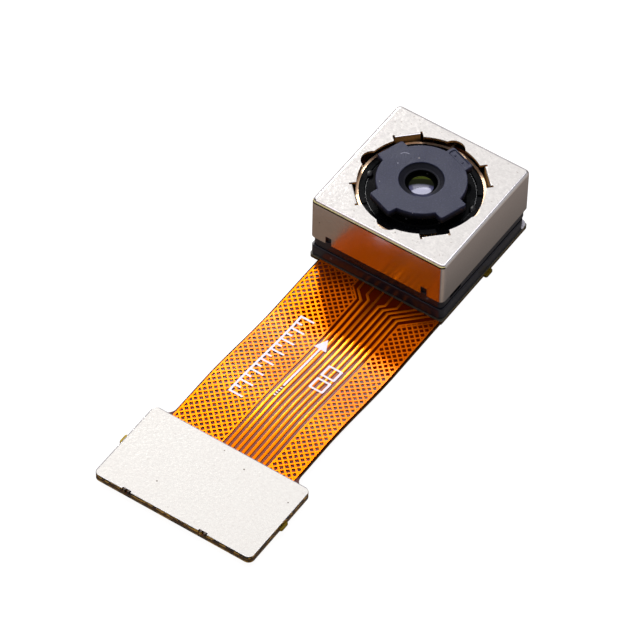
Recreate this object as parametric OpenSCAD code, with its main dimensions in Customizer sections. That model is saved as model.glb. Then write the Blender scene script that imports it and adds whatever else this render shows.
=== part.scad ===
// Autofocus camera module: a voice-coil lens head on a rigid-flex board, a flat flex tail
// and a board-to-board connector with its steel stiffener.
// The origin is where the optical axis meets the underside of the head. +Z looks out of the
// lens, the tail runs along -Y and ends over the connector.

/* [Shield can] */
// Width of the can, across the tail
head_w = 8.5; // [7.6:0.1:10]
// Length of the can, along the tail
head_l = 8.5; // [7.6:0.1:10]
// Height of the can, walls and top
can_h = 2.87; // [2.8:0.01:3.6]
// Thickness of the can's sheet
can_t = 0.15; // [0.1:0.01:0.16]
// Radius of the can's upright corners
can_corner_r = 0.3; // [0.22:0.01:0.4]
// Radius of the bend round the can's top
can_bend_r = 0.2; // [0.1:0.01:0.21]
// Distance by which the opening's edge covers the carrier's rim
opening_lip = 0.03; // [0.01:0.01:0.08]
// Gap between the carrier and a yoke tab
tab_gap = 0.1; // [0.06:0.01:0.14]
// Width of a yoke tab
tab_w = 1.4; // [1:0.05:1.5]
// Depth to which the yoke tabs hang below the can's top
tab_l = 1.5; // [0.8:0.05:1.6]
// Width of the relief slit at each end of a tab
slit_w = 0.12; // [0.06:0.01:0.14]
// Distance by which the slits run on past the bend line
slit_over = 0.14; // [0.05:0.01:0.18]
// Radius of a scallop in the opening's edge
scallop_r = 0.66; // [0.5:0.02:0.8]
// Distance by which a scallop reaches past the round opening
scallop_out = 0.3; // [0.1:0.01:0.35]
// Distance by which the shallow scallop reaches past the round opening
shallow_out = 0.12; // [0.05:0.01:0.2]
// Width of a notch in the can's lower edge
notch_w = 0.38; // [0.2:0.02:0.6]
// Height of a notch in the can's lower edge
notch_h = 0.55; // [0.3:0.05:0.8]
// Distance from the head's side to a notch
notch_in = 1.2; // [1.05:0.05:1.6]

/* [Actuator] */
// Room between the can's wall and the lens carrier
side_room = 0.6; // [0.56:0.01:0.7]
// Thickness of the carrier's wall
carrier_wall = 0.48; // [0.44:0.01:0.55]
// Height of the actuator base below the can
base_h = 0.6; // [0.5:0.02:0.9]
// Distance by which the base stands back from the can's wall
base_inset = 0.1; // [0.06:0.01:0.13]
// Radius of the base's upright corners
base_corner_r = 0.35; // [0.1:0.01:0.4]
// Height of the corner posts above the base
post_h = 0.41; // [0.35:0.01:0.5]
// Width of the pocket in the base's side
pocket_w = 1.05; // [0.5:0.05:1.2]
// Height of the pocket in the base's side
pocket_h = 0.45; // [0.3:0.01:0.5]
// Depth of the pocket in the base's side
pocket_d = 0.25; // [0.1:0.01:0.3]
// Travel of the lens group
focus_travel = 0.25; // [0.15:0.01:0.3]
// Room left above the lens group at the end of its travel
stop_gap = 0.03; // [0.02:0.01:0.06]
// Thickness of the leaf springs
leaf_t = 0.04; // [0.03:0.01:0.06]
// Width of the upper spring's ring
leaf_ring_w = 0.15; // [0.1:0.01:0.16]
// Width of a spring arm
leaf_arm_w = 0.1; // [0.06:0.01:0.12]
// Distance from the coil to a magnet
magnet_gap = 0.12; // [0.08:0.01:0.16]
// Height of the voice coil
coil_h = 1.2; // [0.8:0.05:1.3]
// Thickness of the voice coil's winding
coil_t = 0.22; // [0.16:0.01:0.24]
// Running gap between the coil and what stands round it
coil_gap = 0.1; // [0.08:0.01:0.12]
// Distance from the carrier's top to the coil's top
coil_drop = 0.35; // [0.32:0.01:0.5]
// Distance by which the coil's lugs stop short of its slanted sides
lug_gap = 0.15; // [0.1:0.01:0.3]
// Height of the boss on top of the carrier
boss_h = 0.28; // [0.1:0.01:0.3]

/* [Lens] */
// Radial fit of the thread in the carrier
thread_fit = 0.02; // [0.01:0.01:0.05]
// Length of the barrel
barrel_l = 3.57; // [3.5:0.01:3.7]
// Height of the lens face above the can's top
face_rise = 0.45; // [0.3:0.01:0.8]
// Thickness of the lobed face plate
face_t = 0.42; // [0.2:0.01:0.44]
// Distance by which the round face stands back from the thread
face_step = 0.53; // [0.45:0.01:0.65]
// Distance by which the neck stands back from the face
neck_step = 0.07; // [0.03:0.01:0.15]
// Distance by which the lobes' flat ends stand back from the thread
lobe_step = 0.16; // [0.05:0.01:0.25]
// Width of a lobe
lobe_w = 1.72; // [1.4:0.02:1.9]
// Angle of the first lobe
lobe_turn = 70.7; // [0:0.1:90]
// Depth of the gate pocket in the first lobe
gate_d = 0.1; // [0.05:0.01:0.2]
// Depth of the barrel's shoulder below the carrier's top
shoulder_drop = 0.13; // [0.05:0.01:0.3]
// Radius of the funnel at the face
funnel_r = 1.21; // [1:0.01:1.5]
// Radius of the ledge inside the funnel
ledge_r = 1; // [0.8:0.01:1.1]
// Depth of the ledge below the face
ledge_d = 0.3; // [0.1:0.01:0.34]
// Radius of the clear entrance
entrance_r = 0.72; // [0.4:0.01:0.76]
// Depth of the entrance below the face
entrance_d = 0.4; // [0.35:0.01:0.42]
// Thickness of the front lens's rim
lens_t = 0.42; // [0.36:0.01:0.44]
// Thickness of the light baffles between the lenses
baffle_t = 0.07; // [0.04:0.01:0.08]
// Radius of the front lens
lens_r = 1.45; // [1.3:0.01:1.5]
// Thickness of the barrel's wall round the last lens
barrel_wall = 0.45; // [0.4:0.01:0.5]
// Radial fit of the lenses in the barrel
lens_fit = 0.02; // [0.01:0.01:0.04]
// Height of the ring that holds the lenses in
retainer_h = 0.2; // [0.1:0.01:0.22]

/* [Sensor] */
// Height of the sensor holder
holder_h = 0.84; // [0.8:0.01:1.1]
// Distance by which the holder stands back from the can's wall
holder_inset = 0.15; // [0.05:0.01:0.2]
// Radius of the holder's upright corners
holder_corner_r = 0.6; // [0.3:0.01:0.7]
// Thickness of the holder's walls
holder_wall = 0.5; // [0.4:0.01:0.55]
// Height of the narrow seam at the holder's top
seam_h = 0.1; // [0.05:0.01:0.14]
// Depth of the narrow seam
seam_d = 0.1; // [0.05:0.01:0.15]
// Thickness of the infrared filter
filter_t = 0.21; // [0.15:0.01:0.23]
// Distance from the filter's side edges to the cavity's walls
filter_room_x = 0.5; // [0.45:0.05:0.7]
// Distance from the filter's front and back edges to the cavity's walls
filter_room_y = 1; // [0.8:0.05:1.2]
// Width of the ledge under the filter's edge
filter_ledge = 0.35; // [0.2:0.01:0.4]
// Clearance round and above the filter
filter_fit = 0.05; // [0.02:0.01:0.08]
// Height of the room between the board and the filter's ledge
cavity_h = 0.42; // [0.38:0.01:0.44]
// Room for the chips on each side of the image sensor
chip_room = 0.65; // [0.6:0.01:0.8]
// Room for the bond wires in front of and behind the image sensor
wire_room = 1.25; // [1:0.05:1.5]
// Thickness of the infrared filter's ledge
ledge_t = 0.1; // [0.08:0.01:0.12]
// Thickness of the image sensor
sensor_t = 0.2; // [0.15:0.01:0.22]

/* [Board and tail] */
// Thickness of the flex film
film_t = 0.16; // [0.08:0.01:0.2]
// Thickness of the rigid board under the sensor
board_t = 0.1; // [0.06:0.01:0.4]
// Amount by which the tail is narrower than the head
tail_step = 0.64; // [0.1:0.02:1]
// Sideways place of the tail's middle
tail_x = 0.27; // [0.1:0.01:0.3]
// Length of the tail from the head to the stiffener
tail_l = 13.77; // [12:0.01:30]
// Flat length of the tail before it rises
bend_lead = 4.3; // [1.5:0.1:5]
// Length over which the tail rises to the connector
bend_run = 6.4; // [3:0.1:7]
// Radius of the fillets where the tail widens
tail_fillet_r = 0.4; // [0.1:0.01:0.5]
// Thickness of the copper pattern
copper_t = 0.018; // [0.01:0.001:0.035]
// Distance from the tail's edge to the copper
copper_margin = 0.1; // [0.05:0.01:0.2]
// Distance between the middles of the traces
trace_pitch = 0.336; // [0.3:0.002:0.36]
// Width of a trace
trace_w = 0.17; // [0.1:0.01:0.2]
// Width of the solid border round the ground mesh
border_w = 0.14; // [0.08:0.01:0.2]
// Distance between the middles of the mesh's openings, from corner to corner
mesh_pitch = 0.98; // [0.94:0.01:1.4]
// Width of the copper lines of the mesh
mesh_line_w = 0.26; // [0.15:0.01:0.3]
// Thickness of the printed marks
print_t = 0.012; // [0.01:0.001:0.02]
// Width of a printed line
print_w = 0.13; // [0.08:0.01:0.16]
// Length of the printed scale
scale_l = 6.8; // [5:0.1:8]
// Number of strokes on the printed scale
stroke_n = 15; // [5:1:20]
// Length of the printed arrow
arrow_l = 4.2; // [3:0.1:4.6]
// Size of the printed squares
square_s = 0.9; // [0.5:0.05:1]
// Distance by which the tie tabs stand out from the edge
tie_out = 0.2; // [0.1:0.01:0.3]
// Width of a tie tab
tie_w = 0.65; // [0.4:0.05:0.9]

/* [Connector] */
// Width of the stiffener plate, across the tail
plate_w = 9.89; // [9:0.01:12]
// Length of the stiffener plate
plate_l = 5.51; // [4.5:0.01:8]
// Thickness of the stiffener plate
plate_t = 0.2; // [0.1:0.01:0.3]
// Radius of the stiffener's corners
plate_corner_r = 0.35; // [0.2:0.01:0.8]
// Width of a break-off mark in the plate's edge
nib_w = 0.5; // [0.3:0.02:0.8]
// Height of the connector
conn_h = 0.5; // [0.4:0.01:0.9]
// Length of the connector along its rows of contacts
conn_w = 7.4; // [7.2:0.05:8.8]
// Width of the connector over its walls
conn_l = 2.2; // [2.1:0.05:3]
// Width of the slot that takes the mating half
slot_l = 1.2; // [1.1:0.05:1.3]
// Width of the tongue in the middle of the slot
tongue_l = 0.5; // [0.3:0.05:0.6]
// Number of contacts in each row
contact_n = 15; // [10:1:15]
// Distance between contacts
contact_pitch = 0.4; // [0.35:0.01:0.4]
// Width of a contact
contact_w = 0.16; // [0.1:0.01:0.2]

/* [Hidden] */
$fn = 72;

// Heights of the layers, from the underside up
board_z = film_t;
holder_z = board_z + board_t;
base_z = holder_z + holder_h;
can_z = base_z + base_h;
top_z = can_z + can_h;
over = 0.05;
spacer_h = focus_travel + stop_gap;
spacer_z = top_z - can_t - spacer_h;
leaf_z = spacer_z - leaf_t;
lower_leaf_z = can_z + post_h;
carrier_z = lower_leaf_z + leaf_t;
magnet_h = leaf_z - carrier_z;
face_z = top_z + face_rise;
shoulder_z = leaf_z - shoulder_drop;
filter_z = holder_z + cavity_h + ledge_t;

// Half sizes of the can's inside and of what stands in it
in_x = head_w / 2 - can_t;
in_y = head_l / 2 - can_t;
glue_gap = 0.02;
seat_x = in_x - glue_gap;
seat_y = in_y - glue_gap;

// The round parts, from the can's nearest wall inwards
carrier_r = min(in_x, in_y) - side_room;
carrier_bore_r = carrier_r - carrier_wall;
thread_r = carrier_bore_r - thread_fit;
leaf_ring_r = carrier_r - leaf_ring_w;
opening_r = carrier_r - opening_lip;
face_r = thread_r - face_step;
neck_r = face_r - neck_step;
lobe_reach = thread_r - lobe_step;

// Tabs, coil and magnets, as distances from the axis along the diagonals and the sides
tab_face = carrier_r + tab_gap;
tab_reach = tab_face + can_t;
coil_diag = tab_reach + coil_gap;
coil_side_x = in_x - coil_gap - coil_t;
coil_side_y = in_y - coil_gap - coil_t;
magnet_face = coil_diag + coil_t + magnet_gap;
lug_w = 2 * (coil_diag * sqrt(2) - max(coil_side_x, coil_side_y) - lug_gap);
foot_t = 0.15;
pad_cut = 0.25;
arm_start = 0.3;
notch_x = head_w / 2 - notch_in;

// The room inside the sensor holder and what lies in it
room_w = head_w - 2 * holder_inset - 2 * holder_wall;
room_l = head_l - 2 * holder_inset - 2 * holder_wall;
sensor_w = room_w - 2 * chip_room;
sensor_l = room_l - 2 * wire_room;
filter_w = room_w - 2 * filter_room_x;
filter_l = room_l - 2 * filter_room_y;

// Places along the tail, measured from the axis towards the connector
tail_y = head_l / 2;
plate_y = tail_y + tail_l;
plate_mid_y = plate_y + plate_l / 2;
plate_x = 0.31;
tail_w = head_w - tail_step;
board_corner_r = 0.15;
conn_y = plate_mid_y;
film_end_z = conn_h;
plate_z = film_end_z + film_t;
bend_steps = 14;

// Left edge of the bundle, the traces' outer ends and the places where they turn, by hand
trace_n = 8;
bundle_x = -0.475;
fan_x = [-0.72, -0.1, 0.54, 1.13, 1.74, 2.64, 3.07, 3.46];
fan_y = [1.13, 0.9, 0.9, 0.97, 1.05, 1.1, 1.2, 1.25];
mesh_left_corner = 0.64;
mesh_left_lead = 0.5;
mesh_right_land = 0.2;
bundle_end_x = bundle_x + (trace_n + 1) * trace_pitch;
copper_x0 = tail_x - tail_w / 2 + copper_margin;
copper_x1 = tail_x + tail_w / 2 - copper_margin;
mesh_right_corner = copper_x1 - bundle_end_x + trace_w / 2 - mesh_right_land;

// A rectangle with round corners, about the middle
module round_rect(w, l, r) {
    square([w - 2 * r, l], center = true);
    square([w, l - 2 * r], center = true);
    for (x = [-1, 1], y = [-1, 1])
        translate([x * (w / 2 - r), y * (l / 2 - r)]) circle(r);
}

module round_slab(w, l, r, z, h) {
    translate([0, 0, z]) linear_extrude(h) round_rect(w, l, r);
}

// A side view of the can with its top corners bent round, from z = 0 up
module bent_outline(w) {
    translate([-w / 2, 0]) square([w, can_h - can_bend_r]);
    translate([-w / 2 + can_bend_r, 0]) square([w - 2 * can_bend_r, can_h]);
    for (x = [-1, 1]) translate([x * (w / 2 - can_bend_r), can_h - can_bend_r]) circle(can_bend_r);
}

module opening_outline() {
    circle(opening_r);
    for (a = [90, 180, 270])
        rotate(a) translate([opening_r + scallop_out - scallop_r, 0]) circle(scallop_r);
    translate([opening_r + shallow_out - scallop_r, 0]) circle(scallop_r);
    for (a = [45 : 90 : 315]) rotate(a) {
        translate([0, -tab_w / 2 - slit_w]) square([tab_reach, tab_w + 2 * slit_w]);
        for (s = [-1, 1]) translate([tab_reach / 2, s * (tab_w + slit_w) / 2 - slit_w / 2])
            square([tab_reach / 2 + slit_over, slit_w]);
    }
}

// A yoke tab: the bend and the leg that hangs from it
module yoke_tab() {
    translate([tab_face, -tab_w / 2, top_z - tab_l]) cube([can_t, tab_w, tab_l - can_t]);
    intersection() {
        translate([tab_reach, 0, top_z - can_t]) rotate([90, 0, 0])
            cylinder(r = can_t, h = tab_w, center = true);
        translate([tab_face, -tab_w / 2, top_z - can_t]) cube([can_t, tab_w, can_t]);
    }
}

module shield_can() {
    color([0.82, 0.79, 0.74]) union() {
        difference() {
            intersection() {
                round_slab(head_w, head_l, can_corner_r, can_z, can_h);
                translate([0, 0, can_z]) rotate([90, 0, 0])
                    linear_extrude(head_l + 1, center = true) bent_outline(head_w);
                translate([0, 0, can_z]) rotate([90, 0, 90])
                    linear_extrude(head_w + 1, center = true) bent_outline(head_l);
            }
            round_slab(2 * in_x, 2 * in_y, can_corner_r - can_t / 2, can_z - over, can_h - can_t + over);
            translate([0, 0, top_z - can_t - over]) linear_extrude(can_t + 2 * over) opening_outline();
            for (x = [-1, 1], y = [-1, 1])
                translate([x * notch_x - notch_w / 2, y * head_l / 2 - can_t * 1.5, can_z - over])
                    cube([notch_w, can_t * 3, notch_h + over]);
        }
        for (a = [45 : 90 : 315]) rotate(a) yoke_tab();
    }
}

// The frame that presses the upper spring's pads down on the magnets
module spacer_frame() {
    color([0.1, 0.1, 0.11]) difference() {
        round_slab(2 * seat_x, 2 * seat_y, can_corner_r - can_t / 2, spacer_z, spacer_h);
        translate([0, 0, spacer_z - over]) cylinder(r = tab_reach + slit_over, h = spacer_h + 2 * over);
    }
}

// One corner of the actuator, in plan, beyond a flat face at the given distance
module corner_outline(face) {
    far_x = seat_x;
    far_y = seat_y;
    reach = face * sqrt(2);
    polygon([
        [far_x, reach - far_x], [far_x, far_y - pad_cut], [far_x - pad_cut, far_y],
        [reach - far_y, far_y]
    ]);
}

module corner(k, face, z, h) {
    translate([0, 0, z]) linear_extrude(h)
        mirror([k == 1 || k == 2 ? 1 : 0, 0]) mirror([0, k > 1 ? 1 : 0]) corner_outline(face);
}

module magnet(k) {
    color([0.55, 0.56, 0.6]) corner(k, magnet_face, carrier_z, magnet_h);
}

// One spring arm from the ring to the corner pad, along the side at +X
module leaf_arm(ring_r, side_x, start_y, end_y) {
    translate([ring_r, start_y]) square([side_x - ring_r, leaf_arm_w]);
    translate([side_x - leaf_arm_w, start_y]) square([leaf_arm_w, end_y - start_y]);
}

module upper_leaf_outline() {
    difference() {
        circle(carrier_r);
        circle(leaf_ring_r);
    }
    arm_x = seat_x - glue_gap;
    arm_y = seat_y - glue_gap;
    for (s = [0, 180]) rotate(s) {
        leaf_arm(leaf_ring_r + leaf_ring_w / 2, arm_x, arm_start, arm_y - pad_cut * 2);
        rotate(90) leaf_arm(leaf_ring_r + leaf_ring_w / 2, arm_y, arm_start, arm_x - pad_cut * 2);
    }
}

module upper_leaf_spring() {
    color([0.86, 0.6, 0.4]) union() {
        translate([0, 0, leaf_z]) linear_extrude(leaf_t) upper_leaf_outline();
        for (k = [0 : 3]) corner(k, magnet_face, leaf_z, leaf_t);
    }
}

// The octagonal outline of the coil's inside or outside
module coil_outline(grow) {
    intersection() {
        square([2 * (coil_side_x + grow), 2 * (coil_side_y + grow)], center = true);
        rotate(45) square(2 * (coil_diag + grow), center = true);
    }
}

module voice_coil() {
    color([0.72, 0.4, 0.22]) translate([0, 0, leaf_z - coil_drop - coil_h]) linear_extrude(coil_h)
        difference() {
            coil_outline(coil_t);
            coil_outline(0);
        }
}

// A raised piece of ring on the carrier's top, inside the upper spring's ring
module boss(angle, half, h) {
    boss_r = leaf_ring_r - glue_gap;
    translate([0, 0, leaf_z - over]) rotate(angle - half)
        rotate_extrude(angle = 2 * half) translate([carrier_bore_r - over, 0])
            square([boss_r - carrier_bore_r + over, h + over]);
}

module lens_carrier() {
    lug_z = leaf_z - coil_drop - coil_h;
    foot = foot_t;
    color([0.08, 0.08, 0.09]) difference() {
        union() {
            translate([0, 0, carrier_z]) cylinder(r = carrier_r, h = leaf_z - carrier_z);
            boss(-50, 8, boss_h);
            for (a = [40, 130, 220, 288]) boss(a, 12, boss_h / 3);
            translate([-coil_side_x, -lug_w / 2, lug_z - foot]) cube([2 * coil_side_x, lug_w, coil_h + foot]);
            translate([-lug_w / 2, -coil_side_y, lug_z - foot]) cube([lug_w, 2 * coil_side_y, coil_h + foot]);
            translate([-coil_side_x - coil_t, -lug_w / 2, lug_z - foot])
                cube([2 * (coil_side_x + coil_t), lug_w, foot]);
            translate([-lug_w / 2, -coil_side_y - coil_t, lug_z - foot])
                cube([lug_w, 2 * (coil_side_y + coil_t), foot]);
        }
        translate([0, 0, carrier_z - over]) cylinder(r = carrier_bore_r, h = leaf_z - carrier_z + 1);
    }
}

module lobe_outline() {
    translate([face_r / 2, -lobe_w / 2]) square([lobe_reach - face_r / 2, lobe_w]);
}

// Radius and height of each lens's seat in the barrel, from the front down
front_wall = 0.12;
lens_step = (thread_r - barrel_wall - lens_fit - lens_r) / 4;
function seat_r(i) = lens_r + i * lens_step;
function seat_top(i) = face_z - entrance_d - front_wall - i * (lens_t + baffle_t);
stack_end = seat_top(4) - lens_t;

module lens_barrel() {
    barrel_z = face_z - barrel_l;
    rim = 0.12;
    gate = [0.36, 1.3];
    color([0.2, 0.2, 0.23]) difference() {
        union() {
            translate([0, 0, barrel_z]) cylinder(r = thread_r, h = shoulder_z - barrel_z);
            translate([0, 0, barrel_z]) cylinder(r = neck_r, h = barrel_l);
            translate([0, 0, face_z - face_t]) cylinder(r = face_r, h = face_t);
            for (k = [0 : 3]) rotate(lobe_turn + 90 * k) translate([0, 0, face_z - face_t])
                linear_extrude(face_t) lobe_outline();
        }
        rotate(lobe_turn) translate([lobe_reach - rim - gate[0], -gate[1] / 2, face_z - gate_d])
            cube([gate[0], gate[1], gate_d + over]);
        translate([0, 0, face_z - ledge_d]) cylinder(r1 = ledge_r, r2 = funnel_r, h = ledge_d + 0.001);
        translate([0, 0, face_z - entrance_d])
            cylinder(r1 = entrance_r, r2 = ledge_r, h = entrance_d - ledge_d + 0.001);
        translate([0, 0, barrel_z]) cylinder(r = entrance_r, h = barrel_l);
        for (i = [0 : 4]) translate([0, 0, barrel_z - over])
            cylinder(r = seat_r(i) + lens_fit, h = seat_top(i) - barrel_z + over);
    }
}

// A flattened bead of glue over the joint between the carrier and the barrel's shoulder
module glue_bead(angle) {
    bead_r = 0.28;
    bead_h = 0.08;
    foot_r = bead_r / 3;
    rotate(angle) translate([thread_r, 0, 0]) {
        translate([0, 0, leaf_z]) cylinder(r1 = bead_r, r2 = bead_r / 2, h = bead_h, $fn = 12);
        translate([-bead_r / 2, 0, shoulder_z]) cylinder(r = foot_r, h = leaf_z - shoulder_z, $fn = 12);
    }
}

module lens_lock_glue() {
    color([0.05, 0.05, 0.06]) for (a = [10, 100, 190]) glue_bead(a);
}

// A lens blank: a flat rim of thickness lens_t, a raised cap in front and a hollow behind
module lens_element(i, cap_h, cap_r, hollow_h, hollow_r) {
    cap_ball = (cap_r * cap_r + cap_h * cap_h) / (2 * cap_h);
    hollow_ball = (hollow_r * hollow_r + hollow_h * hollow_h) / (2 * hollow_h);
    rim_z = seat_top(i) - lens_t;
    color([0.55, 0.62, 0.5]) difference() {
        union() {
            translate([0, 0, rim_z]) cylinder(r = seat_r(i), h = lens_t);
            intersection() {
                translate([0, 0, rim_z + lens_t + cap_h - cap_ball]) sphere(cap_ball);
                translate([0, 0, rim_z + lens_t / 2]) cylinder(r = cap_r, h = lens_t);
            }
        }
        translate([0, 0, rim_z + hollow_h - hollow_ball]) sphere(hollow_ball);
    }
}

module light_baffle(i) {
    ring_w = 0.42;
    color([0.03, 0.03, 0.03]) translate([0, 0, seat_top(i)]) difference() {
        cylinder(r = seat_r(i - 1), h = baffle_t);
        translate([0, 0, -over]) cylinder(r = seat_r(i - 1) - ring_w, h = baffle_t + 2 * over);
    }
}

module lens_retaining_ring() {
    ring_w = 0.45;
    color([0.1, 0.1, 0.1]) translate([0, 0, stack_end - retainer_h]) difference() {
        cylinder(r = seat_r(4), h = retainer_h);
        translate([0, 0, -over]) cylinder(r = seat_r(4) - ring_w, h = retainer_h + 2 * over);
    }
}

// Half of the lower spring, on the side at +X
module lower_leaf(z) {
    ring_in = carrier_bore_r + carrier_wall / 4;
    ring_out = ring_in + leaf_ring_w;
    split = 0.2;
    arm_x = seat_x - glue_gap;
    translate([0, 0, z]) linear_extrude(leaf_t) {
        difference() {
            circle(ring_out);
            circle(ring_in);
            translate([-2 * ring_out, -ring_out - 1]) square([2 * ring_out + split, 2 * ring_out + 2]);
        }
        for (m = [0, 1]) mirror([0, m])
            leaf_arm(ring_in + leaf_ring_w / 2, arm_x, arm_start, seat_y - glue_gap - pad_cut * 2);
    }
    corner(0, magnet_face, z, leaf_t);
    corner(3, magnet_face, z, leaf_t);
}

module lower_leaf_spring(side) {
    color([0.86, 0.6, 0.4]) mirror([side < 0 ? 1 : 0, 0, 0]) lower_leaf(lower_leaf_z);
}

terminal_x = 2.4;
terminal_w = 0.5;
terminal_t = 0.1;

// The terminal strip, from the base's upper face down the back of the holder to the board
module coil_terminal(side) {
    out_y = head_l / 2 - base_inset;
    color([0.8, 0.75, 0.6]) translate([side * terminal_x - terminal_w / 2, out_y - terminal_t, holder_z])
        cube([terminal_w, terminal_t, base_z + base_h / 2 - holder_z]);
}

module solder_joint(side) {
    out_y = head_l / 2 - base_inset;
    reach = base_inset;
    color([0.75, 0.76, 0.78]) translate([side * terminal_x - terminal_w / 2, out_y, holder_z])
        rotate([90, 0, 90]) linear_extrude(terminal_w) polygon([[0, 0], [reach, 0], [0, reach]]);
}

module terminal_slots() {
    out_y = head_l / 2 - base_inset;
    for (s = [-1, 1]) translate([s * terminal_x - terminal_w / 2, out_y - terminal_t, holder_z - over])
        cube([terminal_w, terminal_t + 1, base_z + base_h / 2 - holder_z + over]);
}

module actuator_base() {
    bore_r = thread_r + 0.12;
    rim_r = bore_r + 0.25;
    rim_gap = 0.08;
    rim_h = post_h - rim_gap;
    color([0.07, 0.07, 0.08]) difference() {
        union() {
            round_slab(head_w - 2 * base_inset, head_l - 2 * base_inset, base_corner_r, base_z, base_h);
            translate([0, 0, can_z]) cylinder(r = rim_r, h = rim_h);
            for (k = [0 : 3]) corner(k, magnet_face, can_z, post_h);
        }
        translate([0, 0, base_z - over]) cylinder(r = bore_r, h = base_h + post_h + 2 * over);
        for (s = [-1, 1]) translate([
            s * (head_w / 2 - base_inset) - pocket_d, -notch_x - pocket_w / 4, can_z - pocket_h - over
        ]) cube([2 * pocket_d, pocket_w, pocket_h]);
        terminal_slots();
    }
}

module sensor_holder() {
    out_w = head_w - 2 * holder_inset;
    out_l = head_l - 2 * holder_inset;
    ledge_z = holder_z + cavity_h;
    color([0.09, 0.09, 0.11]) difference() {
        union() {
            round_slab(out_w, out_l, holder_corner_r, holder_z, holder_h - seam_h);
            round_slab(out_w - 2 * seam_d, out_l - 2 * seam_d, holder_corner_r - seam_d, holder_z, holder_h);
        }
        translate([-room_w / 2, -room_l / 2, holder_z - over]) cube([room_w, room_l, cavity_h + over]);
        translate([-filter_w / 2 + filter_ledge, -filter_l / 2 + filter_ledge, ledge_z - over])
            cube([filter_w - 2 * filter_ledge, filter_l - 2 * filter_ledge, holder_h]);
        translate([-filter_w / 2 - filter_fit, -filter_l / 2 - filter_fit, filter_z])
            cube([filter_w + 2 * filter_fit, filter_l + 2 * filter_fit, holder_h]);
        terminal_slots();
    }
}

module infrared_filter() {
    color([0.6, 0.75, 0.78, 0.6]) translate([-filter_w / 2, -filter_l / 2, filter_z])
        cube([filter_w, filter_l, filter_t]);
}

module image_sensor() {
    border = 0.35;
    frame_t = 0.02;
    color([0.2, 0.22, 0.25]) difference() {
        translate([-sensor_w / 2, -sensor_l / 2, holder_z]) cube([sensor_w, sensor_l, sensor_t]);
        translate([-sensor_w / 2 + border, -sensor_l / 2 + border, holder_z + sensor_t - frame_t])
            cube([sensor_w - 2 * border, sensor_l - 2 * border, 1]);
    }
}

// The wires arch from the sensor's rim down to the board on both long sides
module bond_wires() {
    wire_n = 14;
    wire_t = 0.03;
    rise = 0.12;
    span = 0.35;
    land = 0.15;
    edge = 0.4;
    pitch = (sensor_w - 2 * edge) / (wire_n - 1);
    color([0.9, 0.75, 0.35]) for (s = [0, 1], i = [0 : wire_n - 1]) mirror([0, s, 0])
        translate([-sensor_w / 2 + edge + i * pitch - wire_t / 2, sensor_l / 2, holder_z])
            rotate([90, 0, 90]) linear_extrude(wire_t) polygon([
                [-land, sensor_t], [wire_t - land, sensor_t], [0, sensor_t + rise - wire_t],
                [span / 2, sensor_t + rise - wire_t], [span - wire_t, 0], [span, 0],
                [span / 2 + wire_t, sensor_t + rise], [0, sensor_t + rise], [-land, sensor_t + wire_t]
            ]);
}

// Chips and capacitors stand on the board between the sensor and the holder's walls
room_x = (room_w / 2 + sensor_w / 2) / 2;
capacitor_y = 1.6;
chip_t = 0.28;

module chip(side, y, l, tint) {
    w = 0.42;
    color(tint) translate([side * room_x - w / 2, y - l / 2, holder_z]) cube([w, l, chip_t]);
}

module capacitor(k) {
    side = k > 1 ? 1 : -1;
    w = 0.3;
    l = 0.6;
    y = (k % 2 == 0 ? -1 : 1) * capacitor_y;
    color([0.6, 0.5, 0.4]) translate([side * room_x - w / 2, y - l / 2, holder_z]) cube([w, l, w]);
}

module sensor_board() {
    color([0.16, 0.17, 0.12]) round_slab(head_w, head_l, board_corner_r, board_z, board_t);
}

// Height of the film's underside at a distance y from the head's front edge
function ease(t) = t * t * (3 - 2 * t);
function film_z(y) = film_end_z * ease(min(1, max(0, (y - bend_lead) / bend_run)));

// A layer that follows the film, from a to b above its underside, over its whole length
module film_layer(a, b, w) {
    stops = [
        -head_l - 1, for (i = [0 : bend_steps]) bend_lead + bend_run * i / bend_steps,
        tail_l + plate_l + 1
    ];
    lower = [for (y = stops) [y, film_z(y) + a]];
    upper = [for (i = [len(stops) - 1 : -1 : 0]) [stops[i], film_z(stops[i]) + b]];
    translate([0, -tail_y, 0]) rotate([90, 0, -90]) linear_extrude(w, center = true)
        polygon([for (p = concat(lower, upper)) p]);
}

module tie_tab(x, y) {
    translate([x - tie_out, -y - tie_w / 2]) square([2 * tie_out, tie_w]);
}

module fillet(x, side) {
    translate([x, -plate_y]) difference() {
        translate([side > 0 ? 0 : -tail_fillet_r, 0]) square(tail_fillet_r);
        translate([side * tail_fillet_r, tail_fillet_r]) circle(tail_fillet_r);
    }
}

module film_outline() {
    round_rect(head_w, head_l, board_corner_r);
    translate([tail_x - tail_w / 2, -plate_y - over]) square([tail_w, tail_l + 1]);
    translate([plate_x, -plate_mid_y]) round_rect(plate_w, plate_l, plate_corner_r);
    for (s = [-1, 1]) fillet(tail_x + s * tail_w / 2, s);
    tie_tab(head_w / 2, -tie_w / 3);
    for (s = [-1, 1]) tie_tab(plate_x + s * plate_w / 2, plate_mid_y);
}

module flex_circuit() {
    color([0.72, 0.38, 0.08]) intersection() {
        film_layer(0, film_t, 3 * head_w);
        translate([0, 0, -1]) linear_extrude(4) film_outline();
    }
}

// Lays a flat pattern on top of the film, a given height thick
module on_film(h) {
    intersection() {
        film_layer(film_t, film_t + h, 3 * head_w);
        translate([0, 0, -1]) linear_extrude(4) children();
    }
}

module mesh_left_outline() {
    x1 = bundle_x + trace_w / 2;
    x2 = x1 - mesh_left_corner;
    y2 = -tail_y - mesh_left_lead;
    polygon([
        [copper_x0, -plate_y], [x1, -plate_y], [x1, y2 - mesh_left_corner], [x2, y2],
        [x2, -tail_y], [copper_x0, -tail_y]
    ]);
}

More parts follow.
